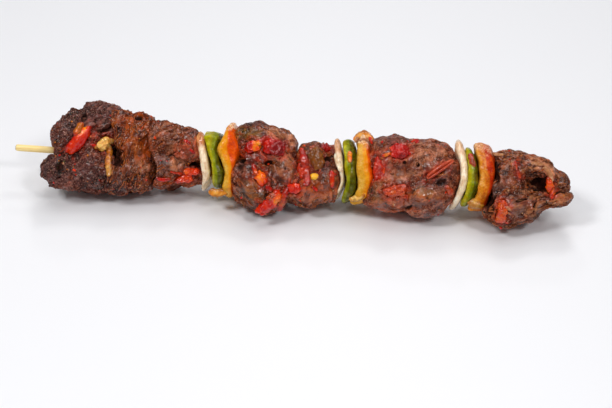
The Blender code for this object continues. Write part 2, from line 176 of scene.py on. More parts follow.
def store(mesh, **masks):
    """Keeps a number for each vertex under each name, for a material's Attribute nodes."""
    for name, values in masks.items():
        layer = mesh.attributes.new(name, "FLOAT", "POINT")
        layer.data.foreach_set("value", np.broadcast_to(values, len(layer.data)).astype(np.float32))


def relaxed(points, edges, rounds):
    """The points after each has moved, rounds times, to the middle of its neighbours."""
    count = np.bincount(edges.ravel(), minlength=len(points)).astype(float)
    count[count == 0] = 1.0
    moved = points.copy()
    for _ in range(rounds):
        total = np.empty_like(moved)
        for axis in range(moved.shape[1]):
            column = moved[:, axis]
            total[:, axis] = np.bincount(edges[:, 0], column[edges[:, 1]], len(moved))
            total[:, axis] += np.bincount(edges[:, 1], column[edges[:, 0]], len(moved))
        moved = 0.5 * moved + 0.5 * total / count[:, None]
    return moved


def skewer_frame(points):
    """World points in metres as (x, rise, front) in millimetres, measured from the skewer."""
    offset = (points - np.array(AXIS)) / MM
    return np.stack([offset[:, 0], offset @ np.array(RISE), offset @ np.array(FRONT)], axis=1)


def world_point(x, rise, front):
    """A point of the skewer's frame, in millimetres, as a world point in metres."""
    return AXIS + (Vector((x, 0, 0)) + RISE * rise + FRONT * front) * MM


def surface(obj):
    """For each vertex its place, its place in the skewer's frame, and the way that it faces."""
    points = coords(obj.data)
    return points, skewer_frame(points), normals_of(obj.data)


def below(smoothed, points, outward, scale):
    """How far each point lies under the smoothed surface, with scale millimetres as 1."""
    return np.einsum("ij,ij->i", smoothed - points, outward) / (scale * MM)


def placed(name, data):
    """A new object in the scene with that data."""
    obj = bpy.data.objects.new(name, data)
    bpy.context.scene.collection.objects.link(obj)
    return obj


def skin_over(node, voxel, smoothing, levels=1):
    """A new object with an even, fine mesh over the CAD node's shape. voxel is in millimetres."""
    obj = placed(node + "_look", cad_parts[node].data.copy())
    obj.data.materials.clear()
    remesh = obj.modifiers.new("even", "REMESH")
    remesh.mode = "VOXEL"
    remesh.voxel_size = voxel * MM
    soften = obj.modifiers.new("soften", "SMOOTH")
    soften.factor = 0.5
    soften.iterations = smoothing
    finer = obj.modifiers.new("finer", "SUBSURF")
    finer.levels = levels
    finer.render_levels = levels
    graph = bpy.context.evaluated_depsgraph_get()
    mesh = bpy.data.meshes.new_from_object(obj.evaluated_get(graph))
    obj.modifiers.clear()
    obj.data = mesh
    for layer in list(mesh.attributes):
        if not layer.is_required and not layer.is_internal:
            mesh.attributes.remove(layer)
    return obj


def mesh_object(name, points, faces):
    mesh = bpy.data.meshes.new(name)
    mesh.from_pydata([tuple(point) for point in points], [], faces)
    mesh.update()
    return placed(name, mesh)


def joined(name, parts):
    """One object from the (points, faces) of several parts."""
    faces, start = [], 0
    for points, outline in parts:
        faces += [tuple(corner + start for corner in face) for face in outline]
        start += len(points)
    return mesh_object(name, np.concatenate([points for points, _ in parts]), faces)


def finished(obj, material, slot, *nodes):
    """Gives a piece its material and smooth shading, and hangs it on the frame."""
    obj.data.materials.append(material)
    obj.data.shade_smooth()
    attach(obj, "root")
    if nodes:
        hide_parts(*nodes)
    return obj


def smooth_path(knots, count):
    """count points along a curve through the knots, the rows of an array."""
    knots = np.array(knots, float)
    padded = np.vstack((2 * knots[0] - knots[1], knots, 2 * knots[-1] - knots[-2]))
    at = np.linspace(0, len(knots) - 1, count)
    i = np.minimum(at.astype(int), len(knots) - 2)
    t = (at - i)[:, None]
    a, b, c, d = (padded[i + k] for k in range(4))
    return 0.5 * (
        2 * b + (c - a) * t + (2 * a - 5 * b + 4 * c - d) * t**2 + (3 * b - a - 3 * c + d) * t**3
    )


def strip_arrays(path, up, width, thickness, sides=8):
    """Points and faces of a band along a path, with rounded edges and closed ends.
    up says which way it faces at each point, and width may have one value for each point."""
    count = len(path)
    along = np.gradient(path, axis=0)
    along /= np.linalg.norm(along, axis=1)[:, None]
    side = np.cross(along, up)
    side /= np.linalg.norm(side, axis=1)[:, None]
    face = np.cross(side, along)
    half_width = np.broadcast_to(np.asarray(width, float), (count,)) / 2
    half_thick = np.broadcast_to(np.asarray(thickness, float), (count,)) / 2
    turns = np.arange(sides) * 2 * math.pi / sides
    rounded = np.sign(np.sin(turns)) * np.abs(np.sin(turns)) ** 0.7
    ring = side[:, None] * (half_width[:, None] * np.cos(turns))[:, :, None]
    ring = ring + face[:, None] * (half_thick[:, None] * rounded)[:, :, None]
    tips = path[0] - along[0] * half_thick[0], path[-1] + along[-1] * half_thick[-1]
    points = np.vstack(((path[:, None] + ring).reshape(-1, 3), *tips))
    faces = []
    for i in range(count - 1):
        for k in range(sides):
            n = (k + 1) % sides
            faces.append((i * sides + k, i * sides + n, (i + 1) * sides + n, (i + 1) * sides + k))
    last = (count - 1) * sides
    for k in range(sides):
        n = (k + 1) % sides
        faces.append((count * sides, n, k))
        faces.append((count * sides + 1, last + k, last + n))
    return points, faces


# ---- Materials ----


def seen(red, green, blue):
    """A colour given as it looks on a screen, 0 to 255, as linear red, green, blue and alpha."""
    shares = [v / 255 for v in (red, green, blue)]
    linear = [s / 12.92 if s <= 0.04045 else ((s + 0.055) / 1.055) ** 2.4 for s in shares]
    return (*linear, 1.0)


class Recipe:
    """Builds one Principled material from small helpers, each of which returns a socket."""

    def __init__(self, name):
        self.material = bpy.data.materials.new(name)
        self.material.use_nodes = True
        self.tree = self.material.node_tree
        self.shader = self.tree.nodes["Principled BSDF"]
        self.place = self.tree.nodes.new("ShaderNodeTexCoord").outputs["Object"]

    def node(self, kind, inputs=(), **settings):
        made = self.tree.nodes.new(kind)
        for key, value in settings.items():
            setattr(made, key, value)
        for key, value in dict(inputs).items():
            self.put(made.inputs[key], value)
        return made

    def put(self, socket, value):
        """Links value to the socket if it is a socket itself, and sets it if it is not."""
        if isinstance(value, bpy.types.NodeSocket):
            self.tree.links.new(value, socket)
        else:
            socket.default_value = value

    def given(self, name):
        """A number stored on the mesh."""
        return self.node("ShaderNodeAttribute", attribute_name=name).outputs["Fac"]

    def math(self, operation, a, b=0.0, clamp=False):
        made = self.node("ShaderNodeMath", {0: a, 1: b}, operation=operation, use_clamp=clamp)
        return made.outputs[0]

    def total(self, *terms):
        """The sum of (value, weight) pairs."""
        sum_so_far = 0.0
        for value, weight in terms:
            sum_so_far = self.math("ADD", self.math("MULTIPLY", value, weight), sum_so_far)
        return sum_so_far

    def band(self, value, low, high, to_low=0.0, to_high=1.0):
        """value stretched from low..high onto to_low..to_high, smoothly and clamped."""
        inputs = {
            "Value": value, "From Min": low, "From Max": high, "To Min": to_low, "To Max": to_high,
        }
        return self.node("ShaderNodeMapRange", inputs, interpolation_type="SMOOTHSTEP").outputs[0]

    def noise(self, size, detail=3.0, roughness=0.55, distortion=0.0, stretch=None, seed=0.0):
        """Noise from 0 to 1 with features of that size in millimetres."""
        vector = self.place
        if stretch:
            vector = self.node("ShaderNodeMapping", {"Vector": vector, "Scale": stretch}).outputs[0]
        inputs = {
            "Vector": vector, "W": seed, "Scale": 1 / (size * MM), "Detail": detail,
            "Roughness": roughness, "Distortion": distortion,
        }
        return self.node("ShaderNodeTexNoise", inputs, noise_dimensions="4D").outputs["Fac"]

    def colours(self, value, *stops):
        """A colour ramp through (position, colour) stops."""
        made = self.node("ShaderNodeValToRGB", {"Fac": value})
        elements = made.color_ramp.elements
        while len(elements) < len(stops):
            elements.new(0.5)
        for element, (position, colour) in zip(elements, stops):
            element.position = position
            element.color = seen(*colour)
        return made.outputs["Color"]

    def shaded(self, tone, colour):
        """A colour from its dark to its light side as tone goes through its usual range."""
        dark = tuple(0.5 * v for v in colour)
        light = tuple(min(255, 1.25 * v + 12) for v in colour)
        return self.colours(tone, (0.37, dark), (0.5, colour), (0.63, light))

    def blend(self, share, a, b):
        made = self.node("ShaderNodeMix", data_type="RGBA")
        self.put(made.inputs["Factor"], share)
        self.put(made.inputs[6], a)
        self.put(made.inputs[7], b)
        return made.outputs[2]

    def shade_in_hollows(self, colour, share, dark):
        """The colour, with up to that share of a dark one painted into the hollows as shade."""
        return self.blend(self.band(self.given("hollow"), 0.2, 1.0, 0.0, share), colour, seen(*dark))

    def bump(self, height, strength, distance):
        inputs = {"Height": height, "Strength": strength, "Distance": distance * MM}
        return self.node("ShaderNodeBump", inputs).outputs[0]

    def finish(self, **sockets):
        for name, value in sockets.items():
            self.put(self.shader.inputs[name.replace("_", " ")], value)
        return self.material


def beef_material(name, dark, middle, light):
    """Seared beef between three colours, with the patches of other looks that its mesh holds, plus
    painted shade in hollows and painted highlights.
    """
    r = Recipe(name)
    pale_streak = [min(255, v + 6) for v in light]
    broad = r.noise(5.0, detail=4.0, roughness=0.6, distortion=0.6)
    grain = r.noise(0.8, roughness=0.7)
    fine = r.noise(0.35, detail=2.0)
    slick = r.given("slick")
    smooth = r.total((slick, 0.85), (r.given("ridge"), 0.5))
    rough = r.math("SUBTRACT", 1.0, smooth, clamp=True)
    not_pit = r.math("SUBTRACT", 1.0, r.given("pit"))
    gritty = r.math("MULTIPLY", r.math("SUBTRACT", grain, 0.5), rough)
    # The cavity term is painted shade: a little darker in fine creases, lighter on bumps.
    tone = r.total((broad, 0.45), (gritty, 0.55), (r.given("lot"), 0.15), (r.given("cavity"), -0.06))
    tone = r.math("ADD", tone, 0.2)
    flesh = r.colours(tone, (0.38, dark), (0.5, middle), (0.62, light))
    casts = ((136, 60, 6), (140, 56, 36), (78, 42, 40))
    for number, cast in enumerate(casts):
        cloud = r.noise(3.2, distortion=0.5, seed=3.0 + number)
        flesh = r.blend(r.band(cloud, 0.46, 0.62, 0.0, 0.5), flesh, r.shaded(tone, cast))
    patches = {
        "pale": (188, 120, 84),
        "olive": (116, 78, 24),
        "orange": (160, 62, 4),
        "red": (156, 32, 8),
        "char": (80, 46, 42),
        # pit is painted shade: dark in holes and deep gaps.
        "pit": (36, 11, 4),
    }
    for look, colour in patches.items():
        flesh = r.blend(r.given(look), flesh, r.shaded(tone, colour))
    # The pale specks are painted highlights, small glints; the dark ones are dark flecks.
    for seed, share, colour in ((8.0, 0.6, (216, 160, 136)), (12.0, 0.6, (36, 12, 6))):
        specks = r.band(r.noise(0.55, detail=2.0, roughness=0.6, seed=seed), 0.56, 0.66, 0.0, share)
        specks = r.math("MULTIPLY", specks, r.math("MULTIPLY", rough, not_pit))
        flesh = r.blend(specks, flesh, seen(*colour))
    # Painted highlight: pale along the crests of bare fibres.
    flesh = r.blend(r.math("MULTIPLY", r.given("streak"), 0.6), flesh, seen(*pale_streak))
    # Painted shade: the hollows and cracks darkened towards a deep red-brown.
    shade = r.total((r.given("hollow"), 0.8), (r.given("crack"), 0.1))
    flesh = r.blend(r.band(shade, 0.1, 1.0, 0.0, 0.8), flesh, seen(44, 9, 2))
    beads = r.band(r.noise(1.4, roughness=0.6, seed=5.0), 0.49, 0.56)
    beads = r.math("MAXIMUM", beads, r.math("MULTIPLY", slick, 0.7))
    wet = r.math("MULTIPLY", r.given("wet"), beads)
    wet = r.math("MULTIPLY", wet, r.band(r.given("hollow"), 0.1, 0.6, 1.0, 0.3))
    relief = r.bump(r.math("MULTIPLY", r.total((grain, 1.0), (fine, 0.8)), rough), 0.9, 0.9)
    film = r.noise(0.9, detail=2.0, roughness=0.5, seed=6.0)
    film = r.bump(r.total((r.math("MULTIPLY", film, rough), 1.0), (broad, 0.8)), 0.8, 0.5)
    return r.finish(
        Base_Color=flesh, Roughness=r.band(fine, 0.3, 0.7, 0.4, 0.6), Normal=relief, Coat_Weight=wet,
        Coat_Roughness=0.2, Coat_IOR=1.6, Coat_Normal=film, Subsurface_Weight=0.04,
        Subsurface_Radius=(0.9, 0.25, 0.1), Subsurface_Scale=0.0015, Specular_IOR_Level=0.06,
    )


def pepper_material(name, *layers):
    """Cooked sweet pepper from its flesh, through its middle, to its glossy skin."""
    r = Recipe(name)
    mottle = r.noise(3.0, detail=4.0, roughness=0.6, distortion=0.4)
    grain = r.noise(0.7, roughness=0.65)
    tone = r.total((mottle, 0.6), (grain, 0.4))
    line = r.total((r.given("skin"), 1.0), (mottle, 0.3), (grain, 0.12))
    flesh, skin, rim = (r.colours(tone, *zip((0.36, 0.5, 0.64), stops)) for stops in layers)
    colour = r.blend(r.band(line, 0.45, 0.75), flesh, rim)
    colour = r.blend(r.band(line, 0.85, 1.02), colour, skin)
    stain = r.colours(grain, (0.35, (128, 44, 6)), (0.65, (214, 110, 30)))
    colour = r.blend(r.given("stain"), colour, stain)
    blister = r.colours(grain, (0.4, (196, 110, 52)), (0.56, (246, 214, 176)))
    colour = r.blend(r.given("blister"), colour, blister)
    # Painted shade: darker in the hollows.
    colour = r.shade_in_hollows(colour, 0.7, (84, 34, 4))
    return r.finish(
        Base_Color=colour, Roughness=r.band(mottle, 0.35, 0.65, 0.3, 0.5),
        Normal=r.bump(r.total((grain, 1.0), (mottle, 0.5)), 0.3, 0.3),
        Coat_Weight=r.band(mottle, 0.44, 0.58, 0.05, 0.8), Coat_Roughness=0.12, Coat_IOR=1.45,
        Coat_Normal=r.bump(r.noise(1.3, detail=2.0, seed=4.0), 0.6, 0.5), Subsurface_Weight=0.2,
        Subsurface_Radius=(1.0, 0.45, 0.06), Subsurface_Scale=0.002, Specular_IOR_Level=0.06,
    )


def onion_material():
    """Softened onion: white and slightly clear, stained along its edges."""
    r = Recipe("onion_flesh")
    mottle = r.noise(3.0, detail=4.0, roughness=0.6)
    veins = r.noise(0.8, detail=2.0, stretch=(1.0, 0.25, 0.25))
    tone = r.total((mottle, 0.6), (veins, 0.4))
    colour = r.colours(tone, (0.34, (212, 170, 126)), (0.5, (246, 219, 182)), (0.66, (255, 245, 222)))
    stain = r.colours(veins, (0.35, (176, 92, 36)), (0.65, (230, 160, 100)))
    colour = r.blend(r.given("stain"), colour, stain)
    # Painted shade: darker in the hollows.
    colour = r.shade_in_hollows(colour, 0.6, (140, 76, 36))
    return r.finish(
        Base_Color=colour, Roughness=r.band(mottle, 0.3, 0.7, 0.22, 0.4),
        Normal=r.bump(veins, 0.2, 0.2), Coat_Weight=0.6, Coat_Roughness=0.14, Subsurface_Weight=0.3,
        Subsurface_Radius=(1.0, 0.7, 0.45), Subsurface_Scale=0.002,
    )


def morsel_material(name, *stops, gloss=1.0):
    """Small cooked pieces: a ramp of colours, mottled, and wet."""
    r = Recipe(name)
    mottle = r.noise(2.0, detail=4.0, roughness=0.65, distortion=0.5)
    grain = r.noise(0.6, roughness=0.65)
    tone = r.total((mottle, 0.35), (grain, 0.25), (r.given("lot"), 0.4))
    colour = r.colours(tone, *stops)
    colour = r.blend(r.given("dull"), colour, r.shaded(grain, (162, 66, 30)))
    # Painted shade: darker in the hollows.
    colour = r.shade_in_hollows(colour, 0.6, (84, 16, 2))
    return r.finish(
        Base_Color=colour, Roughness=r.band(mottle, 0.3, 0.7, 0.3, 0.5),
        Normal=r.bump(r.total((grain, 1.0), (mottle, 0.6)), 0.5, 0.4), Coat_Weight=gloss,
        Coat_Roughness=0.13, Coat_IOR=1.45,
        Coat_Normal=r.bump(r.noise(1.2, detail=2.0, seed=4.0), 0.6, 0.5), Subsurface_Weight=0.2,
        Subsurface_Radius=(1.0, 0.2, 0.05), Subsurface_Scale=0.0015, Specular_IOR_Level=0.06,
    )


def bamboo_material():
    """Split bamboo: straw yellow, with fine fibres along the stick and a grey cut end."""
    r = Recipe("bamboo_stick")
    fibres = r.noise(0.5, detail=4.0, roughness=0.6, stretch=(0.03, 1.0, 1.0))
    broad = r.noise(6.0, detail=2.0, stretch=(0.3, 1.0, 1.0))
    tone = r.total((fibres, 0.7), (broad, 0.3))
    colour = r.colours(tone, (0.32, (240, 200, 122)), (0.5, (255, 226, 152)), (0.68, (255, 240, 186)))
    colour = r.blend(r.given("cut_end"), colour, seen(128, 112, 92))
    colour = r.blend(r.given("stain"), colour, seen(172, 92, 36))
    return r.finish(
        Base_Color=colour, Roughness=0.55, Normal=r.bump(fibres, 0.4, 0.2),
    )


# ---- Beef ----

# Each chunk's seed, the turn of its fibres from +X in degrees, how strongly its fibres, its
# knobs and its crust show, and its dark, middle and light colours.
BEEF = {
    "beef_1": (1, 38, 1.0, 1.2, 1.2, (38, 8, 3), (96, 38, 25), (160, 104, 90)),
    "beef_2": (2, 75, 1.2, 0.4, 0.8, (24, 3, 0), (68, 21, 1), (138, 66, 22)),
    "beef_3": (3, 30, 0.8, 0.8, 0.7, (50, 13, 2), (104, 48, 20), (172, 106, 74)),
    "beef_4": (4, -35, 0.8, 0.5, 0.4, (52, 8, 0), (98, 32, 1), (158, 78, 34)),
    "beef_5": (5, 70, 0.7, 0.5, 0.45, (66, 17, 1), (142, 66, 20), (200, 124, 76)),
    "beef_6": (6, 25, 0.5, 0.4, 0.2, (70, 19, 5), (130, 60, 34), (190, 124, 96)),
    "beef_7": (7, 15, 1.1, 0.4, 0.6, (54, 16, 1), (112, 54, 20), (182, 116, 72)),
}

# The side on which an end chunk meets a neighbour. Other chunks meet one on both.
PRESSED_SIDE = {"beef_1": 1, "beef_7": -1}

# Patches of another look on each chunk, as (look, x, rise, reach along, reach across, strength),
# and how many degrees the patch is turned if it is.
PATCHES = {
    "beef_1": [
        ("char", -98, 12, 12, 9, 0.9, 40), ("char", -88, 17, 11, 7, 0.9),
        ("char", -103, -9, 12, 8, 0.9), ("char", -89, -8, 9, 9, 0.9),
        ("orange", -103, 9, 2.2, 4.5, 0.8, -10), ("red", -90, -5, 7, 4, 0.35),
        ("ridge", -84, 14, 10, 7, 1, 40), ("ridge", -90, -6, 7, 6, 0.5, 20),
    ],
    "beef_2": [
        ("orange", -69, 15, 7, 6, 0.65), ("orange", -70, 2, 5, 10, 0.35), ("char", -76, -12, 5, 6, 0.7),
        ("pale", -66, -5, 4, 3, 0.4), ("char", -70, -6, 4, 4, 0.5), ("orange", -63, 4, 3, 6, 0.8),
        ("ridge", -71, 4, 8, 14, 0.8), ("slick", -64, 0, 3, 8, 0.6),
    ],
    "beef_3": [
        ("orange", -61, 4, 3, 5, 0.7), ("char", -43, 12, 3, 2.5, 0.7), ("char", -62, 3, 4, 8, 0.35),
        ("pale", -48, -2, 4.5, 3, 0.5), ("char", -57, -8, 3, 4, 0.6), ("char", -55, -1.5, 3, 3.5, 0.6),
        ("pale", -41, 2, 2, 4, 0.6), ("red", -45, 4, 5, 5, 0.4), ("orange", -50, -11, 9, 4, 0.8),
        ("orange", -44, 8, 5, 6, 0.6), ("pale", -43, 6, 3, 5, 0.45), ("ridge", -53, 10, 8, 5, 0.6, -20),
        ("slick", -52, -2, 8, 4, 0.8), ("slick", -43, 6, 4, 6, 0.7),
    ],
    "beef_4": [
        ("olive", -17, 13, 7, 4, 0.8), ("char", -17, 18, 6, 3, 0.8), ("pale", -8, 14, 6, 3, 0.5, -30),
        ("red", -13, 4, 9, 3.5, 0.6), ("pale", 0, 12, 3.5, 3.5, 0.6), ("pale", -3, 1, 5, 6, 0.35),
        ("olive", -14, -14, 7, 6, 0.3), ("char", -18, -2, 4, 4, 0.4), ("ridge", -8, 13, 9, 5, 0.7, -40),
        ("slick", -12, -10, 7, 5, 1), ("slick", -3, -4, 6, 4, 0.9), ("slick", -16, 2, 4, 5, 0.7),
        ("slick", 0, 4, 3, 6, 0.6),
    ],
    "beef_5": [
        ("olive", 12, 5, 6, 5, 0.6), ("char", 10, 11, 6, 2.5, 0.6), ("char", 18, 2, 5, 3, 0.5),
        ("orange", 14, -9, 8, 4, 0.65), ("slick", 13, -9, 9, 5, 1), ("slick", 10, 2, 3, 5, 0.7),
    ],
    "beef_6": [
        ("char", 44, 14, 8, 4, 0.6), ("pale", 61, 9, 10, 6, 0.3), ("char", 67.6, -2.5, 3, 2.2, 1),
        # The pale patch at x 55 is a painted highlight.
        ("pale", 51, -1, 5, 3, 0.4), ("pale", 55, 1, 3, 2, 0.6), ("orange", 44.5, -2, 3, 3, 0.5),
        ("olive", 60, -8.5, 6, 4, 0.45), ("olive", 41, -9, 4, 6, 0.4), ("orange", 55, -12, 10, 5, 0.5),
        ("orange", 46, -15, 9, 3, 0.7), ("red", 41, 4, 4, 5, 0.5), ("ridge", 52, -15, 7, 3, 0.6, 10),
        ("slick", 58, -11, 12, 5, 1), ("slick", 61, -9, 7, 8, 1), ("slick", 50, 0, 8, 5, 0.9),
        ("slick", 43, -14, 4, 5, 0.8), ("slick", 69, 3, 3, 5, 0.6),
    ],
    "beef_7": [
        # The pale patch at x 103 is a painted highlight.
        ("pale", 112, 7, 6, 2.2, 0.8, -30), ("pale", 103, -4.2, 2.6, 1.8, 0.7, 20),
        ("red", 99, 6.5, 2.2, 3, 0.7), ("red", 101, 2, 2.2, 2.5, 0.6), ("char", 101, -8, 8, 4, 0.35),
        ("orange", 94, -10, 4, 5, 0.6), ("char", 91, -4, 3, 6, 0.6), ("ridge", 109, -8, 14, 5, 1, 16),
        ("ridge", 106, 11, 9, 4, 0.6, -20), ("slick", 99, -10, 7, 5, 0.8),
        ("slick", 112, 5, 6, 3, 0.9, -30), ("slick", 96, 2, 4, 6, 0.6),
    ],
}
LOOKS = ("char", "orange", "pale", "red", "olive", "slick", "ridge", "pit")

# Holes in each chunk, sunk in and painted dark as shade, as (x, rise, radius along, radius across,
# depth), and the turn.
PITS = {
    "beef_1": [
        (-76.6, 1, 3, 6.5, 1.4), (-100, -7.6, 2, 3.2, 0.5), (-106, 0.8, 2.2, 3.6, 1.5),
        (-92, 15, 1.2, 2.4, 1), (-80.8, 11.2, 4.5, 0.8, 0.9, 30),
    ],
    "beef_2": [
        (-75.8, -2.2, 3, 5.5, 1.4), (-68.7, 16.8, 2.4, 0.7, 1, -10), (-72.8, -3, 1.6, 2.8, 0.8, 10),
    ],
    "beef_3": [(-42.4, -2, 3.6, 1.2, 1.4, 10)],
    "beef_4": [
        (-7.6, 0.7, 1.8, 1, 0.9, 15), (-5.6, -14, 2.4, 1.8, 1.2, 20), (-19.6, -1, 1.8, 3.2, 0.8),
    ],
    "beef_5": [(17.5, 4.4, 2, 1.6, 0.8)],
    "beef_6": [
        (51.4, 5.1, 0.8, 0.7, 0.5), (57.3, 4.4, 0.7, 0.9, 0.8, 20), (54.3, -14.3, 1.8, 0.8, 0.4, 30),
        (67.6, -2.5, 2.4, 1.3, 0.5, 20),
    ],
    "beef_7": [
        (110.4, -0.6, 4.6, 4.6, 1.7, 30), (89, -9.5, 2.6, 8, 1.8, 5), (91.2, 5, 1.5, 8, 0.7),
        (103, -7.4, 2.6, 0.6, 0.8, 20), (108.6, -9.6, 0.7, 3.4, 0.9, -8), (117, -3.6, 5.5, 0.8, 1.1, 8),
    ],
}


def tree_over(points):
    """A search tree over the points."""
    tree = KDTree(len(points))
    for i, point in enumerate(points):
        tree.insert(point, i)
    tree.balance()
    return tree


def cad_tree(names):
    """A search tree over the vertices of those CAD nodes."""
    return tree_over(np.concatenate([coords(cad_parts[name].data) for name in names]))


def distances(points, tree):
    """How far each point is from the nearest one in the tree, in metres."""
    return np.array([tree.find(point)[2] for point in points])


def rotated(x, y, turn):
    """x and y measured along axes that are turned by that many degrees."""
    c, s = math.cos(math.radians(turn)), math.sin(math.radians(turn))
    return x * c + y * s, y * c - x * s


def turned(spots, x, rise, along, across, turn=0):
    """How far each spot lies from a turned ellipse's centre: 1 on the ellipse."""
    u, v = rotated(spots[:, 0] - x, spots[:, 1] - rise, turn)
    return np.hypot(u / along, v / across)


def torn(spots, seed, grain, fibres, knobs, crust, ridged):
    """How far each point of a chunk's skin moves out, in millimetres, for its broad lumps and for
    its rough crust, with the lot of its fibre bundle, how near it is to a crack, and how far it
    is up a bare fibre."""
    bent = spots + 1.6 * drift(spots / 7.0, seed) + 0.4 * drift(spots / 1.5, seed + 11)
    along, across = rotated(bent[:, 0], bent[:, 1], grain)
    bundles = np.stack([along / 8.0, across / 1.7, bent[:, 2] / 2.0], axis=1)
    near, second, lot = pebbles(bundles, seed + 1)
    crack = ramp(second - near, 0.2, 0.0)
    strands = waves(bundles * np.array((1.3, 2.6, 2.6)), seed + 2)
    cloud = waves(spots / 8.0, seed + 3)
    stringy = ramp(cloud, -0.25, 0.25)
    lumps = layered(bent / 8.0, 2, seed + 4)
    folds = ramp(np.abs(waves(bent / 9.0, seed + 5)), 0.0, 0.25) - 1
    folds *= ramp(waves(spots / 9.0, seed + 12), -0.1, 0.3)
    calm = 1 - 0.6 * ramp(waves(spots / 7.0, seed + 13), 0.0, 0.3)
    ridges = 0.65 * crests(bent / 5.0, seed + 6) + 0.35 * crests(bent / 2.4, seed + 7)
    knob, _, knob_lot = pebbles(bent / 2.3, seed + 8)
    dome = np.sqrt(np.clip(1 - (knob / 0.9) ** 2, 0, 1)) * (0.6 + 0.6 * knob_lot) - 0.5
    grit = waves(spots / 1.2, seed + 9) + 0.8 * waves(spots / 0.7, seed + 10)
    broad = 0.9 * lumps + (0.2 + 0.4 * crust) * folds + 0.25
    rough = calm * fibres * stringy * (0.45 * (lot - 0.5) - 0.12 * crack + 0.24 * strands)
    rough += (0.4 + 0.6 * calm) * (1 - 0.5 * stringy) * (0.2 + 0.5 * crust) * ridges
    rough += knobs * ramp(cloud, 0.2, -0.3) * dome * 0.9
    rough += (0.6 + 0.4 * calm) * (0.1 + 0.2 * crust) * grit
    eased = spots + 0.8 * drift(spots / 6.0, seed + 15)
    along, across = rotated(eased[:, 0], eased[:, 1], grain)
    threads = waves(np.stack([along / 9.0, across / 1.7, eased[:, 2] / 2.4], axis=1), seed + 14)
    finer = np.stack([along / 5.0, across / 0.8, eased[:, 2] / 1.2], axis=1)
    threads += 0.4 * waves(finer, seed + 16)
    rough += ridged * (0.8 * threads - 0.8 * rough)
    streak = ridged * ramp(threads, 0.1, 0.6)
    return broad, rough, lot, np.maximum(crack * stringy * calm, -0.3 * folds) * crust, streak


def strengthen(found, look, values):
    """Raises a look to those values where it is weaker."""
    found[look] = np.maximum(found[look], values)


def look_strengths(node, spots, seed):
    """The strength of each look at each point, and how far the pits sink each point in."""
    found = {look: np.zeros(len(spots)) for look in LOOKS}
    ragged = layered(spots / 3.0, 3, seed + 40) * 0.6
    shown = ramp(spots[:, 2], -6, -2)
    for look, x, rise, along, across, strength, *turn in PATCHES[node]:
        inside = turned(spots, x, rise, along, across, *turn) + ragged
        strengthen(found, look, ramp(inside, 1.2, 0.6) * shown * strength)
    sunk = np.zeros(len(spots))
    for x, rise, along, across, depth, *turn in PITS[node]:
        inside = turned(spots, x, rise, along, across, *turn) + 0.9 * ragged
        inside = ramp(inside, 1.25, 0.5) * ramp(spots[:, 2], 0, 3)
        strengthen(found, "pit", inside)
        sunk = np.maximum(sunk, inside * depth)
    return found, sunk


# The looks of the side that the patches leave out, each with how rare it is.
BACK_LOOKS = {"char": 0.25, "orange": 0.35, "pale": 0.4, "red": 0.5, "ridge": 0.1, "slick": 0.1}


def back_looks(found, spots, seed):
    """Spreads stretches of those looks over the side that the patches leave out."""
    hidden = ramp(spots[:, 2], -1, -5)
    for number, (look, level) in enumerate(BACK_LOOKS.items()):
        cloud = layered(spots / 8.0, 3, seed + 50 + number)
        strengthen(found, look, 0.7 * hidden * ramp(cloud, level, level + 0.35))


def make_beef(node, toppings, vegetables):
    """One chunk: the CAD shape, torn and lumpy, with the masks that its material reads."""
    number, grain, fibres, knobs, crust, *tints = BEEF[node]
    seed = number * 1000
    obj = skin_over(node, BEEF_VOXEL, smoothing=6)
    points, spots, outward = surface(obj)
    edges = edges_of(obj.data)
    found, sunk = look_strengths(node, spots, seed)
    back_looks(found, spots, seed)
    ridged = found["ridge"]
    lumps, rough, lot, crack, streak = torn(spots, seed, grain, fibres, knobs, crust, ridged)
    strengthen(found, "slick", (1 - crust) * ramp(waves(spots / 7.0, seed + 70), 0.0, 0.3))
    from_topping = distances(points, toppings) / MM
    height = lumps + rough * (1 - 0.85 * found["slick"])
    height *= 0.2 + 0.8 * ramp(from_topping, 0.3, 1.4)
    sideways = outward[:, 0]
    facing = sideways * PRESSED_SIDE[node] if node in PRESSED_SIDE else np.abs(sideways)
    height += 0.9 * ramp(facing, 0.5, 0.9) - sunk
    points = points + outward * height[:, None] * MM
    points[:, 2] = np.maximum(points[:, 2], 0.0)
    set_coords(obj.data, points)
    outward = normals_of(obj.data)
    near = relaxed(points, edges, 6)
    broad = relaxed(near, edges, 40)
    cavity = np.clip(below(near, points, outward, 0.12), -1, 1)
    hollow = np.clip(below(broad, points, outward, 1.2), 0, 1)
    oily = ramp(points[:, 2] / MM, 7.0, 1.5) * ramp(layered(spots / 3.5, 2, seed + 60), -0.5, 0.3)
    beside = ramp(distances(points, vegetables) / MM, 2.6, 0.6)
    strengthen(found, "orange", 0.7 * np.maximum(oily, beside))
    sauce = ramp(from_topping + 1.5 * layered(spots / 2.5, 2, seed + 62), 3.4, 1.2)
    strengthen(found, "red", 0.55 * sauce)
    pooled = ramp(layered(spots / 4.0, 2, seed + 61), -0.2, 0.3)
    pooled = np.maximum(pooled, 0.7 * ramp(outward[:, 2], 0.3, 0.8))
    pooled = np.maximum(pooled, found["slick"])
    dry = np.maximum(0.3 * found["char"], found["pit"])
    wet = (0.15 + 0.85 * pooled) * (1 - dry)
    store(obj.data, cavity=cavity, hollow=hollow, lot=lot, crack=crack, streak=streak, wet=wet)
    store(obj.data, **found)
    slot = "charred_beef" if node == "beef_1" else "beef"
    return finished(obj, beef_material(node + "_crust", *tints), slot, node)


# ---- Onion and pepper ----

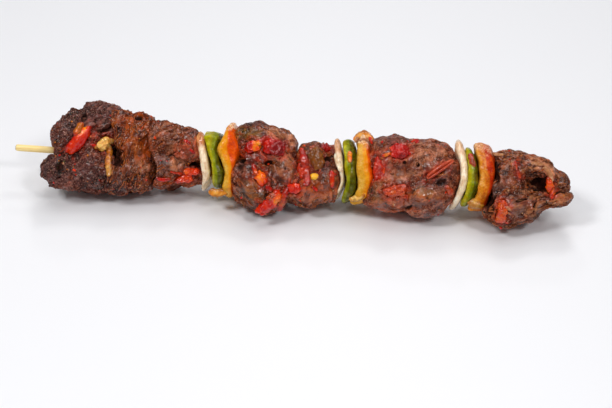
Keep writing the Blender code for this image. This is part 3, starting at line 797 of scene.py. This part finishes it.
# For each slice: how far its skin reaches in from the +X face at its top and at its foot, the
# strength of its oily stains, and how far its blistered top comes down, in millimetres.
SLICE_LOOKS = {
    "onion_1": (0.0, 0.0, 0.28, 6.0),
    "onion_2": (0.0, 0.0, 0.2, 3.0),
    "onion_3": (0.0, 0.0, 0.1, 0.0),
    "green_pepper_1": (-0.15, 0.25, 0.0, 0.0),
    # green_pepper_2's dark skin colour reaches far in at its foot, painting shade there.
    "green_pepper_2": (0.1, 0.4, 0.1, 0.0),
    "green_pepper_3": (0.1, 0.15, 0.12, 0.0),
    "yellow_pepper_1": (0.35, -0.2, 0.05, 3.0),
    "yellow_pepper_2": (-0.1, -0.15, 0.05, 6.5),
    "orange_pepper_3": (0.2, -0.1, 0.35, 4.0),
}

BLISTER_SHARE = {"onion": 0.5, "green": 0.9, "yellow": 0.9, "orange": 0.42}

# Stretches of a slice that stand out, as (x, rise, front, reach, millimetres outward).
SWELLINGS = {
    "onion_3": [(74.4, 7.5, 9, 5, -0.9), (77.8, 7.5, 9, 5, 0.8), (74.6, 12.5, 6, 9, 0.8)],
    "onion_1": [
        (-35.4, -11, 6, 4.5, -0.9), (-38.2, -11, 6, 4.5, 0.6), (-37.5, -12, 5, 4, -0.5),
        (-38.6, 9.5, 7, 7, 0.8),
    ],
    "yellow_pepper_1": [(-29.5, 7, 11, 5, 1.2), (-30.5, -13, 6, 3.6, 1.2)],
    "yellow_pepper_2": [
        (30, -12.5, 4, 3.4, 1.9), (32, 16, 7, 4, 0.8), (31, -5, 6, 9, 0.7), (33, 4, 8, 14, 0.6),
    ],
    "orange_pepper_3": [(81, -13, 4, 3.4, 1.2), (86, 13, 8, 4, 0.7)],
    "green_pepper_3": [(80, -1, 6, 16, 0.9)],
}


def share_through(points, outward):
    """0 at a slice's face towards -X and 1 at its face towards +X, for each point."""
    faces = (points[outward[:, 0] * side > 0.75] for side in (-1, 1))
    low, high = (distances(points, tree_over(face)) for face in faces)
    return low / (low + high + 1e-9)


def make_slice(node, seed, material, slot):
    """One slice: the CAD shape with soft waves, a juicy cut face and its stains."""
    top_skin, foot_skin, stained, blistered = SLICE_LOOKS[node]
    kind = node.split("_")[0]
    onion = kind == "onion"
    obj = skin_over(node, SLICE_VOXEL, smoothing=2)
    points, spots, outward = surface(obj)
    edges = edges_of(obj.data)
    through = share_through(points, outward)
    swell = (0.08 if onion else 0.35) * layered(spots / 6.0, 2, seed)
    swell += (0.02 if onion else 0.06) * layered(spots / 1.2, 2, seed + 5)
    swell += (1 - ramp(through, 0.5, 0.9)) * 0.12 * crests(spots / 1.8, seed + 9)
    for *middle, reach, out in SWELLINGS.get(node, ()):
        far = np.linalg.norm(spots - np.array(middle), axis=1)
        swell += out * ramp(far, reach, 0.0)
    blister = np.zeros(len(spots))
    if blistered:
        top = spots[:, 1].max()
        ragged = 2.0 * layered(spots / 2.5, 2, seed + 30)
        blister = ramp(spots[:, 1] + ragged, top - blistered - 1, top - blistered + 1)
        blister *= ramp(spots[:, 2] + ragged, -3, 1)
        scattered = ramp(layered(spots / 3.0, 3, seed + 32), 0.35, 0.6)
        blister = np.maximum(blister, scattered * ramp(spots[:, 2], 0, -4))
        swell += blister * 0.35 * crests(spots / 1.3, seed + 31)
    points = points + outward * swell[:, None] * MM
    points[:, 0] += (0.25 if onion else 0.6) * waves(spots / 6.0, seed + 12) * MM
    points[:, 2] = np.maximum(points[:, 2], 0.2 * MM)
    set_coords(obj.data, points)
    outward = normals_of(obj.data)
    broad = relaxed(points, edges, 25)
    hollow = np.clip(below(broad, points, outward, 0.6), 0, 1)
    upward = ramp(spots[:, 1], -8, 8)
    reach = np.hypot(spots[:, 1], spots[:, 2])
    stain = stained * ramp(layered(spots / 3.0, 3, seed + 20), 0.0, 0.6)
    stain = np.maximum(stain, 0.8 * ramp(reach, 9.5, 7.0))
    # Darker towards the plate: partly oil stain, partly painted shade.
    low = points[:, 2] / MM + 1.5 * layered(spots / 2.5, 2, seed + 35)
    stain = np.maximum(stain, 0.3 * ramp(low, 6.0, 1.5))
    if onion:
        top = spots[:, 1].max() + 1.5 * layered(spots / 2.5, 2, seed + 33)
        stain = np.maximum(stain, 3.6 * stained * ramp(spots[:, 1], top - 9.0, top - 5.0))
    skin = through + foot_skin + (top_skin - foot_skin) * upward
    store(obj.data, skin=skin, hollow=hollow, stain=stain, blister=blister * BLISTER_SHARE[kind])
    return finished(obj, material, slot, node)


# The colours of each pepper's flesh, skin and the rim between them, from dark to light.
PEPPERS = {
    "green": (
        ((132, 120, 0), (170, 160, 2), (206, 198, 34)),
        ((46, 46, 0), (80, 80, 0), (118, 116, 4)),
        ((92, 96, 0), (126, 132, 0), (166, 170, 10)),
    ),
    "yellow": (
        ((200, 132, 20), (220, 160, 46), (238, 194, 90)),
        ((184, 52, 0), (226, 80, 0), (240, 118, 4)),
        ((218, 118, 0), (234, 144, 6), (246, 178, 36)),
    ),
    "orange": (
        ((180, 92, 8), (216, 136, 34), (238, 176, 84)),
        ((140, 24, 0), (188, 46, 0), (218, 88, 10)),
        ((172, 72, 2), (206, 108, 12), (232, 152, 48)),
    ),
}


def make_slices(onion):
    looks = {kind: pepper_material(kind + "_pepper_flesh", *PEPPERS[kind]) for kind in PEPPERS}
    made = []
    for number, node in enumerate(SLICES):
        kind = node.split("_")[0]
        slot = "onion" if kind == "onion" else kind + "_pepper"
        made.append(make_slice(node, 300 + number, looks.get(kind, onion), slot))
    return made


# ---- Pieces cooked onto the beef ----

# Where small pieces are riper or less ripe, as (x, rise, reach, ripeness): 0 is deep red, 0.5 is
# orange-red and 1 is orange-yellow. Elsewhere they are RIPE.
RIPE = 0.4
RIPENESS = [
    (-92.4, 10.2, 4.5, 0.95), (-97, 0, 6, 0.45), (-82, 5, 5, 0.75), (-79.6, -1, 4, 0.45),
    (-78.4, -7.6, 3, 0.7), (31, -11.5, 5, 0.9), (83, -10.4, 5, 0.75), (80.4, 8, 3, 0.5),
    (-44, -6, 8, 0.6), (-13.4, 8, 3.2, 1), (-17.2, 8, 2.8, 0.15), (-3.9, 8.3, 5.5, 0.05),
    (-6, -13.5, 3.2, 0.05), (-11, -5, 4.5, 0.8), (-1.8, -15, 4, 0.8), (7.5, 0, 5, 0.35),
    (16.5, 9.5, 4, 0), (20.5, -4.5, 4, 0.6), (42.6, 1, 1.6, 0.8), (40, 1, 3, 0.3), (44, 8, 2.4, 0.85),
    (49.5, 10, 5, 0.25), (44.5, -9.2, 2.6, 0.4), (49.5, -8.5, 4, 0.75), (72, -5.4, 4, 0.7),
    (94.5, -13.5, 6, 0.72), (114.8, -1.5, 6, 0.75), (32.6, 16.4, 4.6, 0.5), (27.5, 6, 4, 1),
    (-29.5, -13.6, 6, 0.5),
]

# Where small pieces have gone dull and brown, in the same way: 0 is not at all.
DULLNESS = [
    (49, -8, 9, 0.6), (40.4, 1, 7, 0.25), (71.5, -5.4, 4, 0.6), (94.6, -13, 8, 0.5), (100, 4.5, 6, 0.5),
    (7, -1, 7, 0.3), (-46, -8, 7, 0.3), (114.4, -0.8, 6, 0.2), (80.4, 8, 4, 0.8), (-79.4, -2, 4, 0.45),
    (-5.6, -13.4, 2.8, 0.9),
]


def spread(spots, table, elsewhere):
    """The value at each point, from a table of (x, rise, reach, value)."""
    values = np.full(len(spots), elsewhere)
    for x, rise, reach, value in table:
        far = np.hypot(spots[:, 0] - x, spots[:, 1] - rise)
        values += (value - values) * ramp(far, reach, 0.5 * reach)
    return values


def crumple(obj, seed, size, depth):
    """Wrinkles a small piece, and stores the masks that its material reads."""
    points, spots, outward = surface(obj)
    edges = edges_of(obj.data)
    bent = spots + 0.8 * drift(spots / 2.5, seed)
    height = 0.6 * layered(bent / size, 2, seed + 20)
    height += 0.5 * crests(bent / (0.8 * size), seed + 40)
    height += 0.08 * waves(spots / 0.8, seed + 50)
    points = points + outward * (depth * height)[:, None] * MM
    points[:, 2] = np.maximum(points[:, 2], 0.2 * MM)
    set_coords(obj.data, points)
    broad = relaxed(points, edges, 15)
    hollow = np.clip(below(broad, points, normals_of(obj.data), 0.5), 0, 1)
    ripe = spread(spots, RIPENESS, RIPE) + 0.2 * layered(spots / 4.0, 2, seed + 60)
    dull = spread(spots, DULLNESS, 0.0)
    store(obj.data, hollow=hollow, lot=np.clip(ripe, 0, 1), dull=dull)


ROLL_TURN = 38.0  # degrees from +X to the rolled tomato skin


def roll_skin(obj):
    """Two rolls side by side, as a curled tomato skin has, along the middle of its solid."""
    points, spots, outward = surface(obj)
    offset = spots - (spots.min(axis=0) + spots.max(axis=0)) / 2
    across = rotated(offset[:, 0], offset[:, 1], ROLL_TURN)[1]
    groove = np.exp(-((across / 0.45) ** 2)) * ramp(offset[:, 2], -1.0, 1.0)
    set_coords(obj.data, points - outward * groove[:, None] * 1.1 * MM)


FAT_DROP = 1.1  # millimetres that the fat's look lies lower than its solid, as in the photo
# The size and the depth of a small piece's wrinkles, where they are not the usual ones.
WRINKLES = {"tomato_skin_1": (5.0, 0.3), "wilted_pepper_1": (3.4, 0.9), "red_pepper_1": (4.4, 0.5)}
USUAL_WRINKLES = (2.8, 0.85)


def make_toppings(materials):
    for number, node in enumerate(TOPPINGS):
        slot, material = materials[node.split("_")[0]]
        obj = skin_over(node, TOPPING_VOXEL, smoothing=3)
        if node == "fat_1":
            obj.data.transform(Matrix.Translation(RISE * -FAT_DROP * MM))
        if node == "tomato_skin_1":
            roll_skin(obj)
        crumple(obj, 500 + number, *WRINKLES.get(node, USUAL_WRINKLES))
        finished(obj, material, slot, node)


# ---- Small pieces without a solid of their own ----

# Shreds laid on the food, as (kind, width, thickness, path), the path in (x, rise), or in
# (x, rise, front) where it does not lie on what is under it.
SHREDS = [
    ("red", 3.6, 3.6, [(-93.4, 8.2), (-92.6, 9.9), (-92.1, 11.4)]),
    ("red", 2.4, 2.2, [(-91, 6.5), (-89.6, 9), (-88.4, 10.8)]),
    ("red", 1.6, 1.4, [(-87.2, 3.4), (-85.6, 3.2)]),
    ("fat", 2.8, 2.4, [(-85, 2.6), (-82.2, 4.6), (-79.6, 5.8)]),
    ("fat", 2.8, 2, [(-80.8, 3.2), (-79.6, 0.2), (-79.1, -3.6), (-78.1, -6.6), (-77.4, -9)]),
    ("red", 2.2, 1.6, [(-56.2, -9.4), (-54.2, -9.8), (-52, -9.3)]),
    ("red", 1.6, 1.3, [(-50.6, -6.2), (-47, -6.6)]), ("red", 1.7, 1.4, [(-45.4, 7.9), (-43.6, 7)]),
    ("red", 1.6, 1.3, [(-42.8, 4.2), (-41.4, 3)]),
    ("red", 4.6, 2.6, [(-12, 9.4), (-9.2, 10.2), (-6.4, 9.8)]),
    ("red", 2.6, 1.8, [(-18.2, 6.2), (-15.9, 6.8)]),
    ("red", 2.4, 1.8, [(-13.8, -1.2), (-12.6, -3.8), (-10.6, -6.2), (-8.4, -6.4)]),
    ("red", 2.6, 2, [(-7, -10.2), (-5.6, -11.2)]),
    ("red", 3.4, 2.6, [(1.6, -9.8), (-0.2, -12.6), (-1, -15.4), (-2, -18.6)]),
    ("red", 4, 2.2, [(6.3, 6.6), (7.7, 2.8), (8.8, -1.8), (9.4, -6.4)]),
    ("red", 2.6, 1.8, [(20, -1.6), (20.4, -4.2), (20.6, -7)]),
    ("red", 2, 1.5, [(12.4, -8.6), (13.9, -9.4)]),
    ("red", 1.8, 1.4, [(42.4, 7.4), (44.6, 8.4), (46.4, 8.8)]),
    ("red", 2.6, 1.6, [(54, 14.6), (56.2, 14.4)]), ("red", 3.4, 1.8, [(39.6, 5), (39.9, 3), (40, 1.5)]),
    ("red", 1.8, 1.3, [(42.6, 3.2), (42.7, 1), (42.4, -1)]),
    ("red", 2.8, 1.8, [(51, -9.2), (53.6, -9.9)]), ("red", 3.2, 2, [(70.6, -4.6), (72.2, -6.2)]),
    ("pale", 2.4, 0.8, [(90.9, 12.8), (93.6, 11.4)]), ("red", 1.8, 1.2, [(98.9, 8.2), (99.5, 5.6)]),
    ("red", 1.5, 1.2, [(100.2, 4.2), (101.2, 2.2)]),
    ("pale", 2.4, 0.9, [(106.6, 8.4), (109.4, 8.3), (112, 6.6), (114, 4.4), (115, 2.4)]),
    ("red", 3, 2.6, [(113.9, 2), (115.7, -1.5), (115.4, -5)]),
    ("pale", 1.3, 0.8, [(96.4, -11), (98.2, -12.2)]), ("pale", 1, 0.7, [(96.8, -13.2), (98.4, -14)]),
    ("red", 3.4, 2, [(93.4, -9.4), (94.6, -13), (94.9, -16.6)]),
    ("pale", 0.9, 0.7, [(-6.6, 15.9), (-4.6, 14), (-2.6, 12.1)]),
    ("pale", 0.8, 0.6, [(-9.4, 15.6), (-7, 14.6), (-5.2, 12.6)]),
    ("pale", 0.7, 0.6, [(-8, 16.6), (-5.2, 16), (-3.2, 14.6)]),
    ("yellow", 3.8, 2, [(-26.6, -12.8, 7.4), (-29.2, -13.8, 8.4), (-32.2, -13.8, 8.4)]),
    ("yellow", 3.2, 1.8, [(29.4, 14.2, 9), (31.4, 15.6, 8.2), (33.8, 15.8, 8), (35.8, 14.6, 8.8)]),
    ("red", 2, 1.6, [(35.4, 15.2, 8.6), (36.4, 13, 10)]),
    ("pale", 1.3, 1, [(29.6, 15.8, 8.6), (31.4, 17, 7.4), (33.6, 17.2, 7)]),
    ("pale", 1.1, 0.9, [(31.2, 13.4, 10.2), (33, 14.2, 9.8), (34.8, 13.4, 10.2)]),
    ("pale", 1.2, 1, [(29.2, 12.6, 10.2), (30.2, 14.6, 9.6)]),
    ("red", 2.4, 1.2, [(27.2, 7.4), (27.6, 4.4)]),
    ("yellow", 3.6, 2.2, [(33.8, -10.2, 9.8), (31.8, -11.6, 8.8), (29.8, -12.2, 8.6)]),
    ("yellow", 4.2, 2.4, [(85, -10.8, 8.8), (82.8, -10.6, 9.4), (81, -9.8, 9)]),
    ("red", 3, 1.6, [(79.6, 9.8, 10.6), (80.2, 7.9, 11.4), (81, 6.2, 12)]),
    ("onion", 2.8, 1.2, [(21.5, 6.4, 9.8), (22.3, 3.6, 11.4), (23.6, 0.4, 12.6)]),
]
SHRED_STEP = 0.35 * COARSER  # millimetres between the points of a shred's outline
CLEAR_OF_FOOD = 60.0  # millimetres in front of the skewer, beyond all the food
USUAL_FRONT = 8.0  # millimetres from the skewer to a typical place on the food


def food_tree(objects):
    """A tree for finding where lines meet these objects, which have no transform of their own."""
    points, faces, start = [], [], 0
    for obj in objects:
        mesh = obj.data
        mesh.calc_loop_triangles()
        triangles = np.empty(len(mesh.loop_triangles) * 3, np.int32)
        mesh.loop_triangles.foreach_get("vertices", triangles)
        points.append(coords(mesh))
        faces.append(triangles.reshape(-1, 3) + start)
        start += len(mesh.vertices)
    points, faces = np.concatenate(points), np.concatenate(faces)
    return BVHTree.FromPolygons(points.tolist(), faces.tolist()), points, faces


def laid(tree, path):
    """A path on the food, as world points in metres and the ways that it faces."""
    spots, ways = [], []
    for knot in path:
        if len(knot) == 3:
            spots.append(world_point(*knot))
            ways.append(FRONT)
        else:
            spot, normal, _, _ = tree.ray_cast(world_point(*knot, CLEAR_OF_FOOD), -FRONT)
            if spot is None:
                spot, normal, _, _ = tree.find_nearest(world_point(*knot, USUAL_FRONT))
            spots.append(spot)
            ways.append((normal + FRONT).normalized())
    return np.array(spots), np.array(ways)


def make_shreds(tree, materials):
    """The shreds of each kind, joined into one piece."""
    for kind, (slot, material) in materials.items():
        parts = []
        for number, (shred_kind, width, thickness, path) in enumerate(SHREDS):
            if shred_kind != kind:
                continue
            spots, ways = laid(tree, path)
            length = np.linalg.norm(np.diff(spots, axis=0), axis=1).sum() / MM + width
            ends = [spots[0] - spots[1], spots[-1] - spots[-2]]
            for end, way in enumerate(ends):
                spots[-end] += way / np.linalg.norm(way) * width * 0.5 * MM
            count = max(int(length / SHRED_STEP), 6)
            up = smooth_path(ways, count)
            line = smooth_path(spots, count) + up * thickness * 0.12 * MM
            share = np.linspace(-1, 1, count)
            taper = np.sqrt(np.clip(1 - np.abs(share) ** (length / width * 1.3 + 1), 0.02, 1))
            uneven = 1 + 0.35 * waves(line / MM / 2.6, 700 + number)
            wide = width * taper * uneven * MM
            parts.append(strip_arrays(line, up, wide, thickness * taper * MM, 14))
        obj = joined(kind + "_shreds", parts)
        crumple(obj, 760, 2.6, 0.5)
        finished(obj, material, slot)


# Scattered pieces, as kind: (how many, length range, width and thickness as shares of it).
CRUMBS = {
    "red": (110, 0.8, 2.0, 0.7, 0.5),
    "pale": (90, 0.6, 1.5, 0.7, 0.5),
    "herb": (90, 0.6, 1.5, 0.6, 0.25),
    "oil": (260, 0.4, 1.3, 0.8, 0.4),
}
# Loose fibres, as chunk: (how many, how bright they are).
STRANDS = {
    "beef_1": (60, 0.15),
    "beef_2": (220, 0.45),
    "beef_3": (40, 0.4),
    "beef_4": (50, 0.4),
    "beef_5": (20, 0.45),
    "beef_6": (36, 0.5),
    "beef_7": (90, 0.4),
}
SEEDS = [(12.5, -3.8, 8)]  # pepper seeds, as (x, rise, turn in degrees)


def open_spots(points, faces, count, dice):
    """Random points on the part of a surface that is not pressed against a neighbour or the
    plate, as places and the ways that they face."""
    a, b, c = points[faces[:, 0]], points[faces[:, 1]], points[faces[:, 2]]
    cross = np.cross(b - a, c - a)
    area = np.linalg.norm(cross, axis=1)
    normal = cross / (area[:, None] + 1e-15)
    middle = (a + b + c) / 3
    free = (np.abs(normal[:, 0]) < 0.75) & (middle[:, 2] > 3 * MM) & (normal[:, 2] > -0.8)
    reach = np.hypot(*(skewer_frame(middle)[:, 1:].T))
    weight = area * (free & (reach > 6.0))
    chosen = dice.choice(len(faces), count, p=weight / weight.sum())
    u, v = dice.random((2, count))
    over = u + v > 1
    u, v = np.where(over, 1 - u, u)[:, None], np.where(over, 1 - v, v)[:, None]
    return a[chosen] * (1 - u - v) + b[chosen] * u + c[chosen] * v, normal[chosen]


def unit_ball():
    bm = bmesh.new()
    bmesh.ops.create_icosphere(bm, subdivisions=2, radius=1.0)
    points = np.array([vert.co for vert in bm.verts])
    faces = [[vert.index for vert in face.verts] for face in bm.faces]
    bm.free()
    return points, faces


def axes_on(normals, turns):
    """For each point of a surface, three axes: one turned in the surface, one across it, and
    the way it faces."""
    level = np.cross(normals, np.array((0.0, 0.6, 0.8)))
    level /= np.linalg.norm(level, axis=1)[:, None] + 1e-9
    other = np.cross(normals, level)
    along = level * np.cos(turns)[:, None] + other * np.sin(turns)[:, None]
    return np.stack([along, np.cross(normals, along), normals], axis=1)


def set_on(spot, shape, axes):
    """Points in millimetres along three axes from a spot, as world points in metres."""
    return spot + MM * (shape[:, :1] * axes[0] + shape[:, 1:2] * axes[1] + shape[:, 2:] * axes[2])


def make_crumbs(points, faces, kind, slot, material, dice):
    """All the crumbs of one kind over the beef, as one piece."""
    count, shortest, longest, width, thickness = CRUMBS[kind]
    spots, ways = open_spots(points, faces, count, dice)
    length = dice.uniform(shortest, longest, count) * dice.uniform(0.6, 1.0, count) / 2
    axes = axes_on(ways, dice.uniform(0, 2 * math.pi, count))
    ball, ball_faces = unit_ball()
    parts = []
    for i in range(count):
        knobbly = ball * (1 + 0.3 * waves(ball * 1.3 + 7.0 * i, 811))[:, None] * length[i]
        shape = knobbly * (1.0, width, thickness)
        parts.append((set_on(spots[i], shape, axes[i]), ball_faces))
    obj = joined(kind + "_crumbs", parts)
    lots = np.repeat(0.05 + 0.65 * dice.random(count), len(ball))
    store(obj.data, lot=lots, hollow=0.0)
    finished(obj, material, slot)


def make_strands(chunks, tree, slot, material, dice):
    """Loose fibres of the beef, along the grain of each chunk, as one piece."""
    parts, lots = [], []
    for chunk in chunks:
        node = chunk.name.removesuffix("_look")
        _, skin, triangles = food_tree([chunk])
        count, bright = STRANDS[node]
        spots, ways = open_spots(skin, triangles, count, dice)
        grain = math.radians(BEEF[node][1])
        for spot, way in zip(spots, ways):
            turn = grain + dice.normal(0, 0.35)
            lean = np.array((math.cos(turn), 0, 0)) + np.array(RISE) * math.sin(turn)
            lean -= way * lean.dot(way)
            lean /= np.linalg.norm(lean)
            length = dice.uniform(2.0, 5.5)
            knots = []
            for share in (-1.0, -0.4, 0.3, 1.0):
                near, _, _, _ = tree.find_nearest(Vector(spot + lean * share * length / 2 * MM))
                knots.append(np.array(near) + way * (0.3 - 0.5 * abs(share)) * MM)
            line = smooth_path(knots, 9)
            width = dice.uniform(0.45, 1.0) * MM * np.sqrt(1 - np.linspace(-0.95, 0.95, 9) ** 2)
            parts.append(strip_arrays(line, np.broadcast_to(way, (9, 3)), width, width * 0.8, 5))
            lots.append(np.full(len(parts[-1][0]), bright + dice.uniform(-0.2, 0.2)))
    obj = joined("beef_strands", parts)
    store(obj.data, lot=np.concatenate(lots), hollow=0.0)
    finished(obj, material, slot)


def make_seeds(tree, slot, material):
    """Flat, round pepper seeds with a blunt point."""
    ball, ball_faces = unit_ball()
    parts = []
    for x, rise, turn in SEEDS:
        spots, ways = laid(tree, [(x, rise)])
        axes = axes_on(ways, np.array([math.radians(turn)]))
        point = 1 - 0.25 * ramp(ball[:, 0], 0.2, 1.0)
        shape = ball * np.stack([np.full(len(ball), 2.3), 1.6 * point, 1.0 * point], axis=1)
        parts.append((set_on(spots[0], shape + (0.0, 0.0, 0.4), axes[0]), ball_faces))
    obj = joined("pepper_seeds", parts)
    store(obj.data, lot=0.6, hollow=0.0)
    finished(obj, material, slot)


# ---- Skewer ----


def make_skewer():
    obj = skin_over("skewer", SKEWER_VOXEL, smoothing=1, levels=0)
    points, spots, outward = surface(obj)
    x, start = spots[:, 0], spots[:, 0].min()
    stain = ramp(x + waves(spots / 2.0, 9), start + 15, start + 19) * 0.8
    store(obj.data, cut_end=ramp(x, start + 0.5, start + 0.15), stain=stain)
    groove = waves(spots * np.array((0.02, 1.2, 1.2)), 4)
    set_coords(obj.data, points + outward * groove[:, None] * 0.06 * MM)
    finished(obj, bamboo_material(), "bamboo", "skewer")


# ---- Stage ----

CAMERA_AZIMUTH, CAMERA_ELEVATION = 6.95, 36.4  # degrees
CAMERA_DISTANCE = 0.651  # metres
CAMERA_TARGET = Vector((7.85, -2.7, 0.0)) * MM
CAMERA_LENS, CAMERA_SENSOR = 85.0, 36.0  # millimetres


def aim(obj, azimuth, elevation, distance, target=Vector((0.0, 0.0, 0.0))):
    """Puts an object that many degrees round from the front and up, to look at the target."""
    a, e = math.radians(azimuth), math.radians(elevation)
    way = Vector((math.sin(a) * math.cos(e), -math.cos(a) * math.cos(e), math.sin(e)))
    obj.location = target + way * distance
    obj.rotation_euler = way.to_track_quat("Z", "Y").to_euler()


def make_floor():
    corners = [(-3.0, -3.0, 0.0), (3.0, -3.0, 0.0), (3.0, 3.0, 0.0), (-3.0, 3.0, 0.0)]
    floor = mesh_object("floor", corners, [(0, 1, 2, 3)])
    r = Recipe("pale_floor")
    floor.data.materials.append(r.finish(Base_Color=seen(240, 240, 243), Roughness=0.5))


# Soft square lights that look at the middle of the kebab, each as (azimuth, elevation, distance,
# size, watts).
LIGHTS = {
    "overhead": (150, 84, 0.9, 0.6, 2.3),
    "back": (172, 56, 0.9, 0.2, 1.4),
    "left": (-46, 54, 1.0, 0.2, 3.6),
    "right": (44, 48, 1.0, 0.16, 2.3),
    "back_spark": (187, 38, 1.0, 0.07, 0.45),
    "top_spark": (0, 74, 1.0, 0.07, 0.4),
    "front_spark": (-12, 50, 1.0, 0.06, 0.4),
}


def make_lights():
    for name, (azimuth, elevation, distance, size, watts) in LIGHTS.items():
        data = bpy.data.lights.new(name, "AREA")
        data.size = size
        data.energy = watts
        aim(placed(name, data), azimuth, elevation, distance)
    world = bpy.data.worlds.new("studio")
    world.use_nodes = True
    background = world.node_tree.nodes["Background"]
    background.inputs["Color"].default_value = (0.97, 0.98, 1.0, 1.0)
    background.inputs["Strength"].default_value = 0.16
    bpy.context.scene.world = world


def make_camera():
    data = bpy.data.cameras.new("camera")
    data.lens = CAMERA_LENS
    data.sensor_width = CAMERA_SENSOR
    data.clip_end = 10.0
    camera = placed("camera", data)
    aim(camera, CAMERA_AZIMUTH, CAMERA_ELEVATION, CAMERA_DISTANCE, CAMERA_TARGET)
    bpy.context.scene.camera = camera


# Each kind of small piece, as (slot, material name, gloss, its colours from deep to light).
SMALL = {
    "herb": ("beef", "herb_fleck", 0.4, (22, 22, 6), (48, 46, 14), (86, 84, 30)),
    "oil": ("beef", "oil_bead", 1.0, (150, 58, 8), (196, 96, 22), (226, 140, 52)),
    "strand": ("beef", "beef_strand", 1.0, (66, 34, 26), (112, 46, 10), (154, 74, 20), (204, 134, 84)),
    "seed": ("yellow_pepper", "seed_coat", 1.0, (232, 130, 8), (255, 172, 24), (255, 206, 70)),
    "red": (
        "red_pepper", "red_morsel", 1.0,
        (128, 2, 0), (192, 14, 0), (226, 54, 0), (242, 104, 2), (250, 152, 14),
    ),
    "tomato": ("tomato_skin", "tomato_skin_roll", 1.0, (138, 26, 8), (192, 72, 36), (222, 122, 82)),
    "wilted": ("wilted_pepper", "wilted_morsel", 1.0, (86, 40, 2), (138, 74, 12), (176, 112, 36)),
    "fat": ("fat", "fat_morsel", 1.0, (184, 88, 10), (226, 142, 40), (250, 198, 112)),
    "pale": ("fat", "gristle", 0.6, (140, 80, 46), (186, 126, 84), (228, 182, 142)),
    "yellow": ("yellow_pepper", "yellow_morsel", 1.0, (204, 96, 8), (234, 146, 40), (252, 198, 100)),
}
# Where that many colours lie on the ramp.
STOPS = {3: (0.35, 0.5, 0.65), 4: (0.34, 0.44, 0.54, 0.64), 5: (0.3, 0.44, 0.56, 0.66, 0.74)}


def small_materials():
    """The slot and the material of each kind of small piece."""
    made = {}
    for kind, (slot, name, gloss, *colours) in SMALL.items():
        stops = zip(STOPS[len(colours)], colours)
        made[kind] = (slot, morsel_material(name, *stops, gloss=gloss))
    return made


def main():
    bpy.context.scene.view_settings.view_transform = "Standard"
    toppings = cad_tree(TOPPINGS)
    vegetables = cad_tree(SLICES)
    chunks = [make_beef(node, toppings, vegetables) for node in CHUNKS]
    onion = onion_material()
    slices = make_slices(onion)
    small = {**small_materials(), "onion": ("onion", onion)}
    make_toppings(small)
    tree, _, _ = food_tree(chunks + slices)
    make_shreds(tree, {kind: small[kind] for kind in ("red", "fat", "pale", "yellow", "onion")})
    dice = np.random.default_rng(29)
    beef, skin, triangles = food_tree(chunks)
    for kind in CRUMBS:
        make_crumbs(skin, triangles, kind, *small[kind], dice)
    make_strands(chunks, beef, *small["strand"], dice)
    make_seeds(tree, *small["seed"])
    make_skewer()
    make_floor()
    make_lights()
    make_camera()


main()
